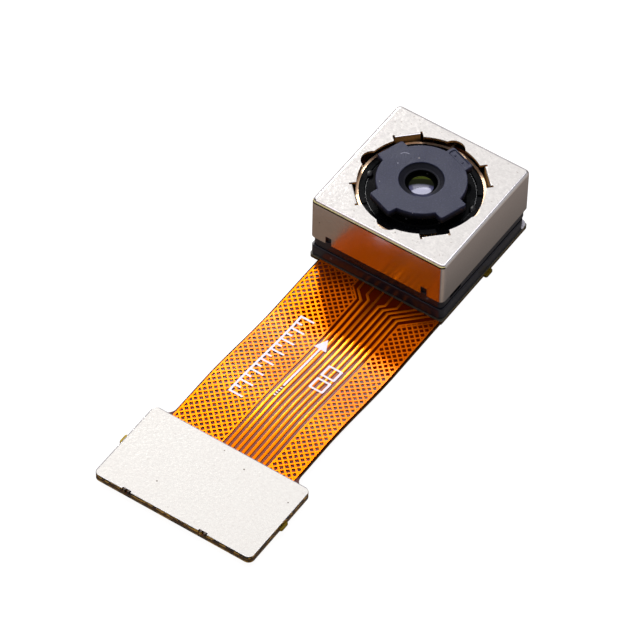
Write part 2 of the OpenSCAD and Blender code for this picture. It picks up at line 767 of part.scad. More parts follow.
module mesh_right_outline() {
    x0 = bundle_end_x - trace_w / 2;
    polygon([
        [copper_x1, -plate_y], [x0, -plate_y], [x0, -tail_y - mesh_right_corner],
        [x0 + mesh_right_corner, -tail_y], [copper_x1, -tail_y]
    ]);
}

// Square openings on their corners, in rows and in the gaps between the rows, kept inside
module mesh_openings(x0, x1) {
    gap = mesh_pitch / sqrt(2) - mesh_line_w;
    nx = ceil((x1 - x0) / mesh_pitch);
    ny = ceil(tail_l / mesh_pitch);
    for (i = [0 : nx], j = [0 : ny], k = [0, 1])
        translate([x0 + (i + k / 2) * mesh_pitch, -plate_y + (j + k / 2) * mesh_pitch])
            rotate(45) square(gap, center = true);
}

module ground_mesh(side) {
    color([0.95, 0.6, 0.1]) on_film(copper_t) {
        if (side < 0) difference() {
            mesh_left_outline();
            intersection() {
                mesh_openings(copper_x0, bundle_x);
                mesh_window(copper_x0, bundle_x + trace_w / 2, mesh_left_corner, mesh_left_lead);
            }
        }
        else difference() {
            mesh_right_outline();
            intersection() {
                mesh_openings(bundle_end_x, copper_x1);
                mirror([1, 0]) mesh_window(
                    -copper_x1, -bundle_end_x + trace_w / 2, mesh_right_corner, 0
                );
            }
        }
    }
}

// The part of a mesh inside its solid border, with its far corner cut off
module mesh_window(x0, x1, cut, lead) {
    y0 = -plate_y + border_w;
    y1 = -tail_y - border_w;
    corner_x = x1 - border_w;
    polygon([
        [x0 + border_w, y0], [corner_x, y0], [corner_x, -tail_y - cut - lead - border_w / 2],
        [x1 - cut - border_w, -tail_y - lead - border_w / 2], [x1 - cut - border_w, y1],
        [x0 + border_w, y1]
    ]);
}

// A straight stretch of trace between two points
module stroke(p, q, w) {
    run = q - p;
    translate(p) rotate(atan2(run[1], run[0])) translate([0, -w / 2]) square([norm(run), w]);
    translate(q) circle(w / 2);
}

module trace(k) {
    x = bundle_x + (k + 1) * trace_pitch;
    turn_y = -tail_y - fan_y[k];
    shift = fan_x[k] - x;
    rise = min(abs(shift), fan_y[k]);
    bend = [x, turn_y];
    leave = [x + sign(shift) * rise, turn_y + rise];
    fan_w = trace_w * 0.8;
    stroke([x, -plate_y - 1], bend, trace_w);
    stroke(bend, leave, fan_w);
    stroke(leave, [leave[0], -tail_y + 1], fan_w);
}

module signal_traces() {
    color([0.95, 0.6, 0.1]) on_film(copper_t) intersection() {
        for (k = [0 : trace_n - 1]) trace(k);
        translate([copper_x0, -plate_y]) square([copper_x1 - copper_x0, tail_l]);
    }
}

// A plain scale: a long line with short strokes across it
module scale_mark(x, y, l, n, reach) {
    translate([x - print_w / 2, -y - l]) square([print_w, l]);
    for (i = [0 : n - 1])
        translate([x - print_w / 2, -y - l + i * (l - print_w) / (n - 1)])
            square([i % 2 == 0 ? reach : reach / 2, print_w]);
}

// A plain arrow that points at the head
module arrow_mark(x, y, l, w) {
    translate([x - print_w / 2, -y - l]) square([print_w, l - w / 2]);
    translate([x, -y]) polygon([[0, 0], [w / 2, -w], [-w / 2, -w]]);
}

module square_mark(x, y, s) {
    translate([x, -y]) difference() {
        square(s, center = true);
        square(s - 2 * print_w, center = true);
    }
}

// The marks stand in three rows along the tail, measured from the head's front edge
scale_at = [-2.1, tail_y + 3.85];
arrow_at = [0, tail_y + 4.45];
squares_at = [1.5, tail_y + 6.35];
scale_reach = 0.9;
arrow_w = 0.8;
dash_n = 4;
dash_pitch = 0.2;
square_pitch = square_s + 0.2;

module marks_outline() {
    scale_mark(scale_at[0], scale_at[1], scale_l, stroke_n, scale_reach);
    arrow_mark(arrow_at[0], arrow_at[1], arrow_l, arrow_w);
    for (i = [1 : dash_n]) translate([arrow_at[0], -arrow_at[1] - arrow_l - dash_pitch * i])
        square([print_w, dash_pitch / 2], center = true);
    for (i = [0 : 1]) square_mark(squares_at[0], squares_at[1] + square_pitch * i, square_s);
}

module printed_marks() {
    color([0.92, 0.9, 0.88]) intersection() {
        film_layer(film_t + copper_t, film_t + copper_t + print_t, 3 * head_w);
        translate([0, 0, -1]) linear_extrude(4) marks_outline();
    }
}

// A break-off mark: a shallow bite in the edge with two stubs of the tie bar left in it
nib_x = [-2.86, 1.94];
bite_d = 0.14;
stub_w = 0.14;
stub_out = 0.06;

module bite(x) {
    translate([x - nib_w / 2, -plate_y - plate_l - over]) square([nib_w, bite_d + over]);
}

module stubs(x) {
    for (s = [-1, 1]) translate([x + s * nib_w / 4 - stub_w / 2, -plate_y - plate_l - stub_out])
        square([stub_w, stub_out + bite_d + over]);
}

module connector_stiffener() {
    color([0.86, 0.84, 0.8]) translate([0, 0, plate_z]) linear_extrude(plate_t) {
        difference() {
            translate([plate_x, -plate_mid_y]) round_rect(plate_w, plate_l, plate_corner_r);
            for (x = nib_x) bite(plate_x + x);
        }
        for (x = nib_x) stubs(plate_x + x);
    }
}

module connector_housing() {
    side = (conn_l - slot_l) / 2;
    end = 0.5;
    floor_t = 0.12;
    color([0.1, 0.1, 0.11]) translate([plate_x, -conn_y, 0]) difference() {
        translate([-conn_w / 2, -conn_l / 2, 0]) cube([conn_w, conn_l, conn_h]);
        difference() {
            translate([-conn_w / 2 + end, -conn_l / 2 + side, -over])
                cube([conn_w - 2 * end, slot_l, conn_h - floor_t + over]);
            translate([-conn_w / 2 + 2 * end, -tongue_l / 2, -2 * over])
                cube([conn_w - 4 * end, tongue_l, conn_h]);
        }
        contact_cuts();
        for (s = [-1, 1]) translate([s * conn_w / 2 - nail_t, -nail_w / 2, conn_h - nail_h])
            cube([2 * nail_t, nail_w, nail_h + over]);
    }
}

contact_foot = 0.3;
contact_t = 0.08;
nail_t = 0.1;
nail_w = 1;
nail_h = 0.35;

// Each contact is a foot on the film, a leg up the wall and a blade inside the slot
module contact() {
    foot_y = conn_l / 2 - contact_t;
    translate([-contact_w / 2, foot_y, conn_h - contact_t])
        cube([contact_w, contact_foot + contact_t, contact_t]);
    translate([-contact_w / 2, foot_y, over]) cube([contact_w, contact_t, conn_h - over]);
    translate([-contact_w / 2, slot_l / 2, over])
        cube([contact_w, foot_y - slot_l / 2 + contact_t, contact_t]);
    translate([-contact_w / 2, slot_l / 2, over]) cube([contact_w, contact_t, conn_h / 2]);
}

module each_contact() {
    for (m = [0, 1], i = [0 : contact_n - 1]) mirror([0, m, 0])
        translate([(i - (contact_n - 1) / 2) * contact_pitch, 0, 0]) children();
}

module contact_cuts() {
    each_contact() contact();
}

module connector_contacts() {
    color([0.85, 0.7, 0.35]) translate([plate_x, -conn_y, 0]) each_contact() contact();
}

module solder_nail(side) {
    color([0.75, 0.74, 0.7]) translate([plate_x, -conn_y, 0]) union() {
        translate([side * (conn_w / 2) - (side > 0 ? nail_t : 0), -nail_w / 2, conn_h - nail_h])
            cube([nail_t, nail_w, nail_h]);
        translate([side * (conn_w / 2 + nail_t) - nail_t, -nail_w / 2, conn_h - nail_t])
            cube([2 * nail_t, nail_w, nail_t]);
    }
}

shield_can();
spacer_frame();
upper_leaf_spring();
magnet(0);  // magnet_1
magnet(1);  // magnet_2
magnet(2);  // magnet_3
magnet(3);  // magnet_4
voice_coil();
lens_carrier();
lens_barrel();
lens_lock_glue();
lens_element(0, 0.08, entrance_r - 0.03, 0.08, 0.9);  // lens_element_1
lens_element(1, 0.05, 0.8, 0.1, 1.0);  // lens_element_2
lens_element(2, 0.04, 0.9, 0.12, 1.2);  // lens_element_3
lens_element(3, 0.05, 1.0, 0.15, 1.4);  // lens_element_4
lens_element(4, 0.05, 1.1, 0.18, 1.6);  // lens_element_5
light_baffle(1);  // light_baffle_1
light_baffle(2);  // light_baffle_2
light_baffle(3);  // light_baffle_3
light_baffle(4);  // light_baffle_4
lens_retaining_ring();
lower_leaf_spring(-1);  // lower_leaf_spring_left
lower_leaf_spring(1);  // lower_leaf_spring_right
coil_terminal(-1);  // coil_terminal_left
coil_terminal(1);  // coil_terminal_right
solder_joint(-1);  // solder_joint_left
solder_joint(1);  // solder_joint_right
actuator_base();
infrared_filter();
sensor_holder();
image_sensor();
bond_wires();
chip(-1, 0, 1.1, [0.25, 0.25, 0.28]);  // focus_driver_chip
chip(1, 0, 0.9, [0.2, 0.2, 0.22]);  // memory_chip
capacitor(0);  // capacitor_1
capacitor(1);  // capacitor_2
capacitor(2);  // capacitor_3
capacitor(3);  // capacitor_4
sensor_board();
flex_circuit();
ground_mesh(-1);  // ground_mesh_left
ground_mesh(1);  // ground_mesh_right
signal_traces();
printed_marks();
connector_stiffener();
connector_housing();
connector_contacts();
solder_nail(-1);  // solder_nail_left
solder_nail(1);  // solder_nail_right
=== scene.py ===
"""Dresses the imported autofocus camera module: its meshes, finishes, studio light and camera.

Sizes here are in millimetres and become metres as each piece is finished. The frame is the
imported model's own: the origin is where the optical axis meets the underside of the head, +Z
looks out of the lens, and the tail runs along -Y to the connector.
"""

import logging
import math
from collections.abc import Callable, Iterable, Sequence
from dataclasses import dataclass, field
from enum import Enum

import bmesh
import bpy
from mathutils import Matrix, Vector


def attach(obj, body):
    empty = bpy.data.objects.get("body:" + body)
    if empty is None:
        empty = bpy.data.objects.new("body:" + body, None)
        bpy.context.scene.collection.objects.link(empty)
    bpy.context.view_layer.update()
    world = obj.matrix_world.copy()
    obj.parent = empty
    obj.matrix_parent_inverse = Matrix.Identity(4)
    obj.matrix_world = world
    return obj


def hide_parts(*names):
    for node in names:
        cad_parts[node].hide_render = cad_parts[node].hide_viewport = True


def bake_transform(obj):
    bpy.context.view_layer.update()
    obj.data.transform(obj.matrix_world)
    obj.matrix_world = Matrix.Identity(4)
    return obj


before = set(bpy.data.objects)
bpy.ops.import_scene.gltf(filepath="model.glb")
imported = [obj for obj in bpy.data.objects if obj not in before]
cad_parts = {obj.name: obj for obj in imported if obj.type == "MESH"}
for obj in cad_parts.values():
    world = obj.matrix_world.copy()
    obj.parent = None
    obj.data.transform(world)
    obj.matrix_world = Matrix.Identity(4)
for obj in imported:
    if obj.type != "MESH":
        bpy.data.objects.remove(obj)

MM = 0.001
HEAD = "head_and_tail"
LENS = "lens_group"
TURN_STEPS = 96
MERGE_GAP = 1e-4
BEVEL_SEGMENTS = 2
BEVEL_ANGLE = 40.0
LOG = logging.getLogger("camera_module")

Point = tuple[float, float]
Colour = tuple[float, float, float]
Speck = tuple[tuple[float, float, float], float, Colour]


def tint(red: float, green: float, blue: float) -> Colour:
    """A colour given as it looks on a screen, 0 to 255, as the linear values a shader takes."""
    return tuple(((c / 255 + 0.055) / 1.055) ** 2.4 if c > 10 else c / 255 / 12.92 for c in (red, green, blue))


# --------------------------------------------------------------------------- shader maths


class Value:
    """A shader socket that takes part in sums: each operator adds its Math node."""

    def __init__(self, shader: "Shader", socket: bpy.types.NodeSocket) -> None:
        """Wraps a socket of that shader's node tree."""
        self.shader = shader
        self.socket = socket

    def _sum(self, operation: str, *terms: "Value | float", clamp: bool = False) -> "Value":
        """One Math node.

        Args:
            operation: the Math node's operation.
            terms: its inputs, in order.
            clamp: whether the result is held between 0 and 1.

        Returns:
            The node's result.
        """
        inputs = dict(enumerate(terms))
        node = self.shader.node("ShaderNodeMath", {"operation": operation, "use_clamp": clamp}, inputs)
        return Value(self.shader, node.outputs[0])

    def __add__(self, other: "Value | float") -> "Value":
        """self + other."""
        return self._sum("ADD", self, other)

    __radd__ = __add__

    def __sub__(self, other: "Value | float") -> "Value":
        """self - other."""
        return self._sum("SUBTRACT", self, other)

    def __rsub__(self, other: float) -> "Value":
        """other - self."""
        return self._sum("SUBTRACT", other, self)

    def __mul__(self, other: "Value | float") -> "Value":
        """self * other."""
        return self._sum("MULTIPLY", self, other)

    __rmul__ = __mul__

    def __truediv__(self, other: "Value | float") -> "Value":
        """self / other."""
        return self._sum("DIVIDE", self, other)

    def wave(self) -> "Value":
        """The sine of the value."""
        return self._sum("SINE", self)

    def clamped(self) -> "Value":
        """The value held between 0 and 1."""
        return self._sum("ADD", self, 0.0, clamp=True)

    def above(self, edge: float, softness: float) -> "Value":
        """1 above the edge and 0 below it, over a stretch as long as the softness."""
        return ((self - edge) / softness + 0.5).clamped()


class Shader:
    """A material's node tree, with one method that adds any node."""

    def __init__(self, name: str) -> None:
        """Starts the material with a Principled shader on its output."""
        self.material = bpy.data.materials.new(name)
        self.material.use_nodes = True
        self.tree = self.material.node_tree
        self.surface = self.tree.nodes["Principled BSDF"]
        self._place: Value | None = None

    def node(self, kind: str, settings: dict | None = None, inputs: dict | None = None) -> bpy.types.Node:
        """Adds a node.

        Args:
            kind: the node's type.
            settings: its properties, set before its inputs; "stops" are a ramp's own.
            inputs: socket name or number to a number, colour, vector, socket or Value.

        Returns:
            The node.
        """
        made = self.tree.nodes.new(kind)
        for key, setting in (settings or {}).items():
            if key == "stops":
                self._set_stops(made.color_ramp, setting)
            else:
                setattr(made, key, setting)
        for key, value in (inputs or {}).items():
            self.feed(made.inputs[key], value)
        return made

    @staticmethod
    def _set_stops(ramp: bpy.types.ColorRamp, stops: Sequence[tuple[float, Colour]]) -> None:
        """Gives a ramp its places and colours, from low to high."""
        while len(ramp.elements) < len(stops):
            ramp.elements.new(0.5)
        for element, (place, colour) in zip(ramp.elements, stops):
            element.position = place
            element.color = (*colour, 1.0)

    def feed(self, socket: bpy.types.NodeSocket, value: object) -> None:
        """Links a socket or Value to the input, or sets the input to the number or colour."""
        if isinstance(value, Value):
            value = value.socket
        if isinstance(value, bpy.types.NodeSocket):
            self.tree.links.new(value, socket)
        elif isinstance(value, tuple) and socket.type == "RGBA":
            socket.default_value = (*value, 1.0)
        else:
            socket.default_value = value

    def place(self) -> Value:
        """The surface point in the row frame, in metres."""
        if self._place is None:
            self._place = Value(self, self.node("ShaderNodeTexCoord").outputs["Object"])
        return self._place

    def axes(self) -> tuple[Value, Value, Value]:
        """The surface point's x, y and z in millimetres."""
        scaled = self.node(
            "ShaderNodeVectorMath", {"operation": "SCALE"}, {0: self.place(), "Scale": 1 / MM}
        )
        split = self.node("ShaderNodeSeparateXYZ", None, {0: scaled.outputs[0]})
        return tuple(Value(self, socket) for socket in split.outputs)

    def noise(self, per_mm: float, detail: float = 2.0, stretch: Colour = (1.0, 1.0, 1.0)) -> Value:
        """Noise that repeats about that many times in a millimetre, from 0 to 1.

        Args:
            per_mm: features to the millimetre.
            detail: the noise's octaves.
            stretch: factors on the three axes' scales.

        Returns:
            The noise's value.
        """
        turned = self.node("ShaderNodeMapping", None, {"Vector": self.place(), "Scale": Vector(stretch) / MM})
        inputs = {"Vector": turned.outputs[0], "Scale": per_mm, "Detail": detail}
        return Value(self, self.node("ShaderNodeTexNoise", None, inputs).outputs[0])

    def mix(self, share: "Value | float", first: object, second: object) -> bpy.types.NodeSocket:
        """The two colours mixed by share: 0 is the first and 1 the second."""
        node = self.node("ShaderNodeMix", {"data_type": "RGBA"}, {0: share, 6: first, 7: second})
        return node.outputs[2]

    def speck(self, base: object, centre: Colour, radius: float, colour: Colour) -> bpy.types.NodeSocket:
        """A small round mark on a colour.

        Args:
            base: the colour so far.
            centre: the mark's place in millimetres.
            radius: its radius in millimetres.
            colour: its own colour.

        Returns:
            The colour with the mark in it.
        """
        inputs = {0: self.place(), 1: Vector(centre) * MM}
        far = Value(self, self.node("ShaderNodeVectorMath", {"operation": "DISTANCE"}, inputs).outputs["Value"])
        return self.mix(1 - far.above(radius * MM, radius * MM * 0.6), base, colour)

    def bump(self, height: Value, depth: float) -> bpy.types.NodeSocket:
        """A normal from a height between 0 and 1 that stands for that depth in millimetres."""
        inputs = {"Height": height, "Distance": depth * MM, "Strength": 1.0}
        return self.node("ShaderNodeBump", None, inputs).outputs[0]

    def finish(self, **sockets: object) -> bpy.types.Material:
        """Feeds the Principled shader's inputs, named with _ for a space.

        Args:
            sockets: input name to value, such as Base_Color=(0.8, 0.8, 0.8).

        Returns:
            The finished material.
        """
        for name, value in sockets.items():
            self.feed(self.surface.inputs[name.replace("_", " ")], value)
        return self.material


# --------------------------------------------------------------------------------- finishes


class Finish:
    """A surface finish that makes its material once."""

    name: str

    def shade(self, shader: Shader) -> bpy.types.Material:
        """Fills the shader in. Each finish has its own."""
        raise NotImplementedError

    def material(self) -> bpy.types.Material:
        """The finish's material, made the first time it is asked for."""
        return bpy.data.materials.get(self.name) or self.shade(Shader(self.name))


@dataclass(frozen=True)
class FoldedSheet(Finish):
    """Plated sheet: smooth rolled sides, a finely pitted flat top and, on a can, a bend with painted shade and
    highlight.

    The front bend has painted shade: a dimmed band, and a dark line under a brassy line that is partly
    rubbed plating and partly a painted highlight. The sheet's cut edge and the tabs inside the opening
    are brassy too. Each band is given by the heights above the bend's foot at which it starts and ends.
    """

    name: str
    top: float
    colour: Colour = tint(245, 241, 237)
    side_roughness: float = 0.22
    top_roughness: float = 0.13
    pit_depth: float = 0.006
    specks: tuple[Speck, ...] = ()
    metallic: float = 1.0
    mottle: float = 2.2
    depth: float = 0.075
    dust: float = 0.3
    rims: tuple[Point, ...] = ()
    bend: float = 0.0
    painted_dim_band: Point = (0.16, 0.19)
    brass_and_highlight_band: Point = (0.094, 0.146)
    painted_shade_band: Point = (0.01, 0.094)
    front: float = 0.0
    opening: float = 0.0

    def shade(self, shader: Shader) -> bpy.types.Material:
        """Pits and specks on the faces near the top, faint rolling lines on the others."""
        across, along, height = shader.axes()
        flat = height.above(self.top - 0.03, 0.03)
        grain = shader.noise(6.0, 3.0)
        fine = shader.noise(13.0, 2.0, (0.45, 1.0, 1.0))
        cloud = shader.noise(0.5, 2.0)
        rolled = shader.noise(2.2, 3.0, (1.6, 1.6, 1.0))
        speck = shader.noise(5.5, 1.0).above(0.71, 0.03)
        tone = ((fine - 0.5) * self.mottle + (cloud - 0.5) * 0.6 + 0.5).clamped()
        base = shader.mix(tone, tuple(c * (1 - self.depth) for c in self.colour),
                          tuple(min(1.0, c * (1 + self.depth / 2)) for c in self.colour))
        base = shader.mix(speck * flat * self.dust, base, tint(150, 128, 108))
        for centre, radius, colour in self.specks:
            base = shader.speck(base, centre, radius, colour)
        for left, back in self.rims:
            rim = (1 - across.above(left, 0.03) + along.above(back, 0.03)).clamped()
            base = shader.mix(rim * 0.75, base, tint(132, 126, 132))
        if self.bend:
            base = self._painted_bend_and_brass(shader, base, across, along, height)
        rough = flat * (self.top_roughness - self.side_roughness) + self.side_roughness
        metal = self.metallic
        if self.bend:
            rough = rough + self._inner(across, along, height) * 0.3
            # the brassy line is made non-metal so that its painted highlight shows
            metal = 1 - self._brass_highlight(along, height) * 0.95
        relief = grain * 0.6 + fine * 0.4
        height_map = relief * flat + rolled * (1 - flat) * 0.35
        return shader.finish(
            Base_Color=base,
            Metallic=metal,
            Roughness=(rough + (grain - 0.5) * 0.1).clamped(),
            Normal=shader.bump(height_map, self.pit_depth),
        )

    def _painted_bend_and_brass(self, shader: Shader, base: object, across: Value, along: Value, height: Value) -> object:
        """Adds the front bend's painted shade and painted highlight, and the brassy opening.

        Args:
            shader: the material's shader.
            base: the sheet's colour so far.
            across: the surface point's x.
            along: its y.
            height: its z.

        Returns:
            The colour with the wear in it.
        """
        dots = shader.noise(5.5, 2.0, (1.0, 1.0, 1.6)).above(0.47, 0.12)
        # painted shade: a dark line low on the front bend
        base = shader.mix(self._band(along, height, self.painted_shade_band, (0.012, 0.004)), base, tint(26, 15, 2))
        # painted shade: the upper front bend dimmed
        painted_dim = self._band(along, height, self.painted_dim_band, (0.01, 0.008)) * 0.9
        base = shader.mix(painted_dim, base, tint(150, 133, 118))
        # the brassy line: partly rubbed plating, partly a painted highlight
        base = shader.mix(self._brass_highlight(along, height) * (dots * 0.3 + 0.7), base, tint(255, 238, 158))
        return shader.mix(self._inner(across, along, height) * 0.9, base, tint(255, 204, 112))

    def _band(self, along: Value, height: Value, span: Point, soft: Point) -> Value:
        """1 on the front bend within a band, and 0 elsewhere.

        Args:
            along: the surface point's y.
            height: its z.
            span: where the band starts and ends.
            soft: how softly it starts and ends.

        Returns:
            The band's mask.
        """
        low = self.top - self.bend
        band = height.above(low + span[0], soft[0]) * (1 - height.above(low + span[1], soft[1]))
        return band * (1 - along.above(self.front, 0.03))

    def _brass_highlight(self, along: Value, height: Value) -> Value:
        """1 on the bend's brassy line, partly rubbed plating and partly a painted highlight, and 0 elsewhere."""
        return self._band(along, height, self.brass_and_highlight_band, (0.004, 0.006))

    def _inner(self, across: Value, along: Value, height: Value) -> Value:
        """1 on the cut edge and the tabs inside the opening, and 0 elsewhere."""
        radius = across * across + along * along
        return (1 - radius.above(self.opening**2, 0.3)) * (1 - height.above(self.top - 0.02, 0.02))


@dataclass(frozen=True)
class MouldedPlastic(Finish):
    """Filled black plastic with a fine spark-eroded skin and a slight sheen."""

    name: str
    colour: Colour
    roughness: float = 0.42
    skin: float = 0.004
    sheen: float = 0.5
    gloss_tint: Colour = (1.0, 1.0, 1.0)
    specks: tuple[Speck, ...] = ()
    painted_shade_below: float = 0.0

    def shade(self, shader: Shader) -> bpy.types.Material:
        """A fine even grain, slow changes of tone and a few pale dust specks, with painted shade: near black below
        a height.
        """
        grain = shader.noise(12.0, 3.0)
        cloud = shader.noise(0.8, 2.0)
        pale = grain.above(0.6, 0.12)
        dust = shader.noise(2.6, 0.0).above(0.835, 0.02)
        base = shader.mix(cloud, tuple(c * 0.8 for c in self.colour), tuple(c * 1.2 for c in self.colour))
        base = shader.mix(pale, base, tuple(c * 1.9 + 0.004 for c in self.colour))
        base = shader.mix(dust * 0.35, base, tint(150, 148, 150))
        # painted shade: near black below that height
        if self.painted_shade_below:
            base = shader.mix(shader.axes()[2].above(self.painted_shade_below, 0.1), tint(5, 5, 7), base)
        for centre, radius, colour in self.specks:
            base = shader.speck(base, centre, radius, colour)
        return shader.finish(
            Base_Color=base,
            Roughness=((cloud - 0.5) * 0.12 + self.roughness).clamped(),
            Specular_IOR_Level=self.sheen,
            Specular_Tint=self.gloss_tint,
            Normal=shader.bump(grain, self.skin),
        )


@dataclass(frozen=True)
class AmberFilm(Finish):
    """Amber polyimide film with a glossy skin: deep red-brown where no copper lies under it."""

    name: str = "amber_film"
    deep: Colour = tint(70, 12, 0)
    light: Colour = tint(122, 32, 0)
    rim: Colour = tint(52, 22, 6)
    left: float = -3.58
    right: float = 4.09
    far: float = -15.0

    def shade(self, shader: Shader) -> bpy.types.Material:
        """Slow tone changes, dark edge rims, painted light between traces and a coat held back as painted shade
        near the head.
        """
        across, along, _ = shader.axes()
        cloud = shader.noise(0.35, 2.0)
        ripple = shader.noise(1.1, 2.0)
        base = shader.mix(cloud, self.deep, self.light)
        # painted light: the film between the traces paler beyond the head's shadow
        between = across.above(-0.36, 0.08) * (1 - across.above(2.4, 0.08)) * (1 - along.above(-8.5, 0.8))
        base = shader.mix(between * 0.8, base, tint(150, 72, 44))
        rim = (across.above(self.right, 0.03) + 1 - across.above(self.left, 0.03)) * along.above(-17.5, 0.15)
        base = shader.mix(rim, base, self.rim)
        streak = shader.noise(2.6, 1.0, (1.0, 0.1, 1.0)) * 1.2
        # painted shade: no clear coat where the head's shadow falls, with a streaky edge
        near = ((along + streak).above(-8.5, 0.7) * across.above(-3.0, 1.4)).clamped()
        coat = (along.above(self.far, 4.0) * 0.58 + 0.22) * (1 - rim) * (1 - near)
        return shader.finish(
            Base_Color=base,
            Roughness=0.45,
            Specular_IOR_Level=0.0,
            Coat_Weight=coat.clamped(),
            Coat_Roughness=0.34,
            Coat_IOR=1.7,
            Normal=shader.bump(ripple, 0.003),
        )


@dataclass(frozen=True)
class FilmEdge(Finish):
    """The film's cut edge: dark brown layers of film and glue."""

    name: str = "film_edge"

    def shade(self, shader: Shader) -> bpy.types.Material:
        """Layers along the edge, with a little unevenness."""
        layers = shader.noise(6.0, 2.0, (0.3, 0.3, 4.0))
        base = shader.mix(layers, tint(44, 30, 8), tint(88, 62, 20))
        relief = shader.bump(layers, 0.01)
        return shader.finish(Base_Color=base, Roughness=0.5, Specular_IOR_Level=0.1, Normal=relief)


@dataclass(frozen=True)
class LinerLayers(Finish):
    """The dark glue liner under the plate, with bits of torn gold-coloured film in it."""

    name: str = "liner_layers"

    def shade(self, shader: Shader) -> bpy.types.Material:
        """Dark olive brown with small golden bits."""
        bits = shader.noise(3.2, 2.0, (1.0, 1.0, 2.5)).above(0.54, 0.06)
        layers = shader.noise(7.0, 2.0, (0.3, 0.3, 3.0))
        base = shader.mix(bits, shader.mix(layers, tint(24, 18, 7), tint(54, 42, 14)), tint(150, 112, 36))
        return shader.finish(
            Base_Color=base, Roughness=0.45, Specular_IOR_Level=0.1, Normal=shader.bump(layers, 0.01)
        )


@dataclass(frozen=True)
class CoveredCopper(Finish):
    """Copper seen through the amber cover film: bright yellow-orange with a soft metal glow."""

    name: str = "covered_copper"
    low: Colour = (0.92, 0.148, 0.0)
    high: Colour = (1.0, 0.188, 0.0)
    lit: float = 1.0

    def shade(self, shader: Shader) -> bpy.types.Material:
        """A rolled-foil grain, a painted coat sheen mid-tail, and painted shade, darker towards the plate where
        lit is low.
        """
        along = shader.axes()[1]
        # painted sheen: a coat only along the tail's middle, beyond the head's shadow
        coat = along.above(-13.5, 5.0) * (1 - along.above(-8.4, 1.0)) * 0.35
        foil = shader.noise(5.0, 2.0, (1.0, 0.25, 1.0))
        cloud = shader.noise(0.4, 2.0)
        base = shader.mix((foil * 0.4 + cloud * 0.6).clamped(), self.low, self.high)
        # painted shade: the copper darker from the head's shadow edge to the plate, by 1 - lit
        base = shader.mix((1 - along.above(-8.5, 0.8)) * (1 - self.lit), base, (0.0, 0.0, 0.0))
        return shader.finish(
            Base_Color=base, Metallic=0.95, Roughness=0.36, Specular_IOR_Level=0.0,
            Coat_Weight=coat.clamped(), Coat_Roughness=0.34, Normal=shader.bump(foil, 0.003),
        )


@dataclass(frozen=True)
class Plating(Finish):
    """A plated or bare metal surface with a fine grain."""

    name: str
    colour: Colour
    roughness: float = 0.25
    grain: float = 0.003

    def shade(self, shader: Shader) -> bpy.types.Material:
        """Fine grain and slow changes of gloss."""
        fine = shader.noise(20.0, 2.0)
        cloud = shader.noise(1.2, 2.0)
        base = shader.mix(cloud, tuple(c * 0.86 for c in self.colour), self.colour)
        return shader.finish(
            Base_Color=base,
            Metallic=1.0,
            Roughness=((cloud - 0.5) * 0.12 + self.roughness).clamped(),
            Normal=shader.bump(fine, self.grain),
        )


@dataclass(frozen=True)
class WoundWire(Finish):
    """Enamelled copper wire wound round the lens axis in fine level turns."""

    name: str = "wound_wire"
    turns_per_mm: float = 14.0

    def shade(self, shader: Shader) -> bpy.types.Material:
        """Level turns as a wave up the axis."""
        turns = shader.axes()[2] * (2 * math.pi * self.turns_per_mm)
        ridge = turns.wave() * 0.5 + 0.5
        base = shader.mix(ridge, tint(96, 40, 18), tint(206, 120, 66))
        return shader.finish(
            Base_Color=base, Metallic=0.85, Roughness=0.34, Normal=shader.bump(ridge, 0.012)
        )


@dataclass(frozen=True)
class CoatedLens(Finish):
    """A dark olive lens with a painted reflection: lilac and clear-coated only towards the tail."""

    name: str = "coated_lens"

    def shade(self, shader: Shader) -> bpy.types.Material:
        """Painted light: an olive far side with a pale rim arc, and a lilac reflection under a sharp coat towards
        the tail.
        """
        across, along, _ = shader.axes()
        ahead = across * 0.546 - along * 0.838
        radius = across * across + along * along
        # painted reflection: the side of the lens towards the tail
        bright = ahead.above(0.08, 0.2)
        # painted light and shade: paler olive on the far side, darker towards the tail
        base = shader.mix(ahead.above(-0.42, 0.12), tint(62, 70, 22), tint(30, 32, 20))
        # painted reflection: lilac towards the tail
        base = shader.mix(bright, base, tint(70, 70, 110))
        # painted highlight: a paler olive arc on the far rim
        base = shader.mix(radius.above(0.4, 0.04) * (1 - ahead.above(-0.5, 0.2)), base, tint(96, 102, 52))
        base = shader.mix(radius.above(0.45, 0.03), base, tint(6, 7, 6))
        # painted reflection: the clear coat only on the side towards the tail
        coat = bright * (1 - radius.above(0.44, 0.04))
        return shader.finish(
            Base_Color=base, Roughness=0.5, Specular_IOR_Level=0.0,
            Coat_Weight=coat.clamped(), Coat_Roughness=0.12, Coat_IOR=3.0,
        )


@dataclass(frozen=True)
class BoardResin(Finish):
    """Dark solder mask over a glass-fibre board whose cut edge shows its pale and tan layers."""

    name: str = "board_resin"
    low: float = 0.16
    high: float = 0.26

    def shade(self, shader: Shader) -> bpy.types.Material:
        """Layers by height, with fibres in them."""
        height = shader.axes()[2]
        fibre = shader.noise(12.0, 3.0, (1.0, 1.0, 4.0))
        layer = height.above((self.low + self.high) / 2, 0.02)
        base = shader.mix(layer, tint(96, 78, 48), tint(40, 42, 32))
        base = shader.mix(fibre * 0.4, base, tint(120, 112, 84))
        return shader.finish(Base_Color=base, Roughness=0.45, Normal=shader.bump(fibre, 0.004))


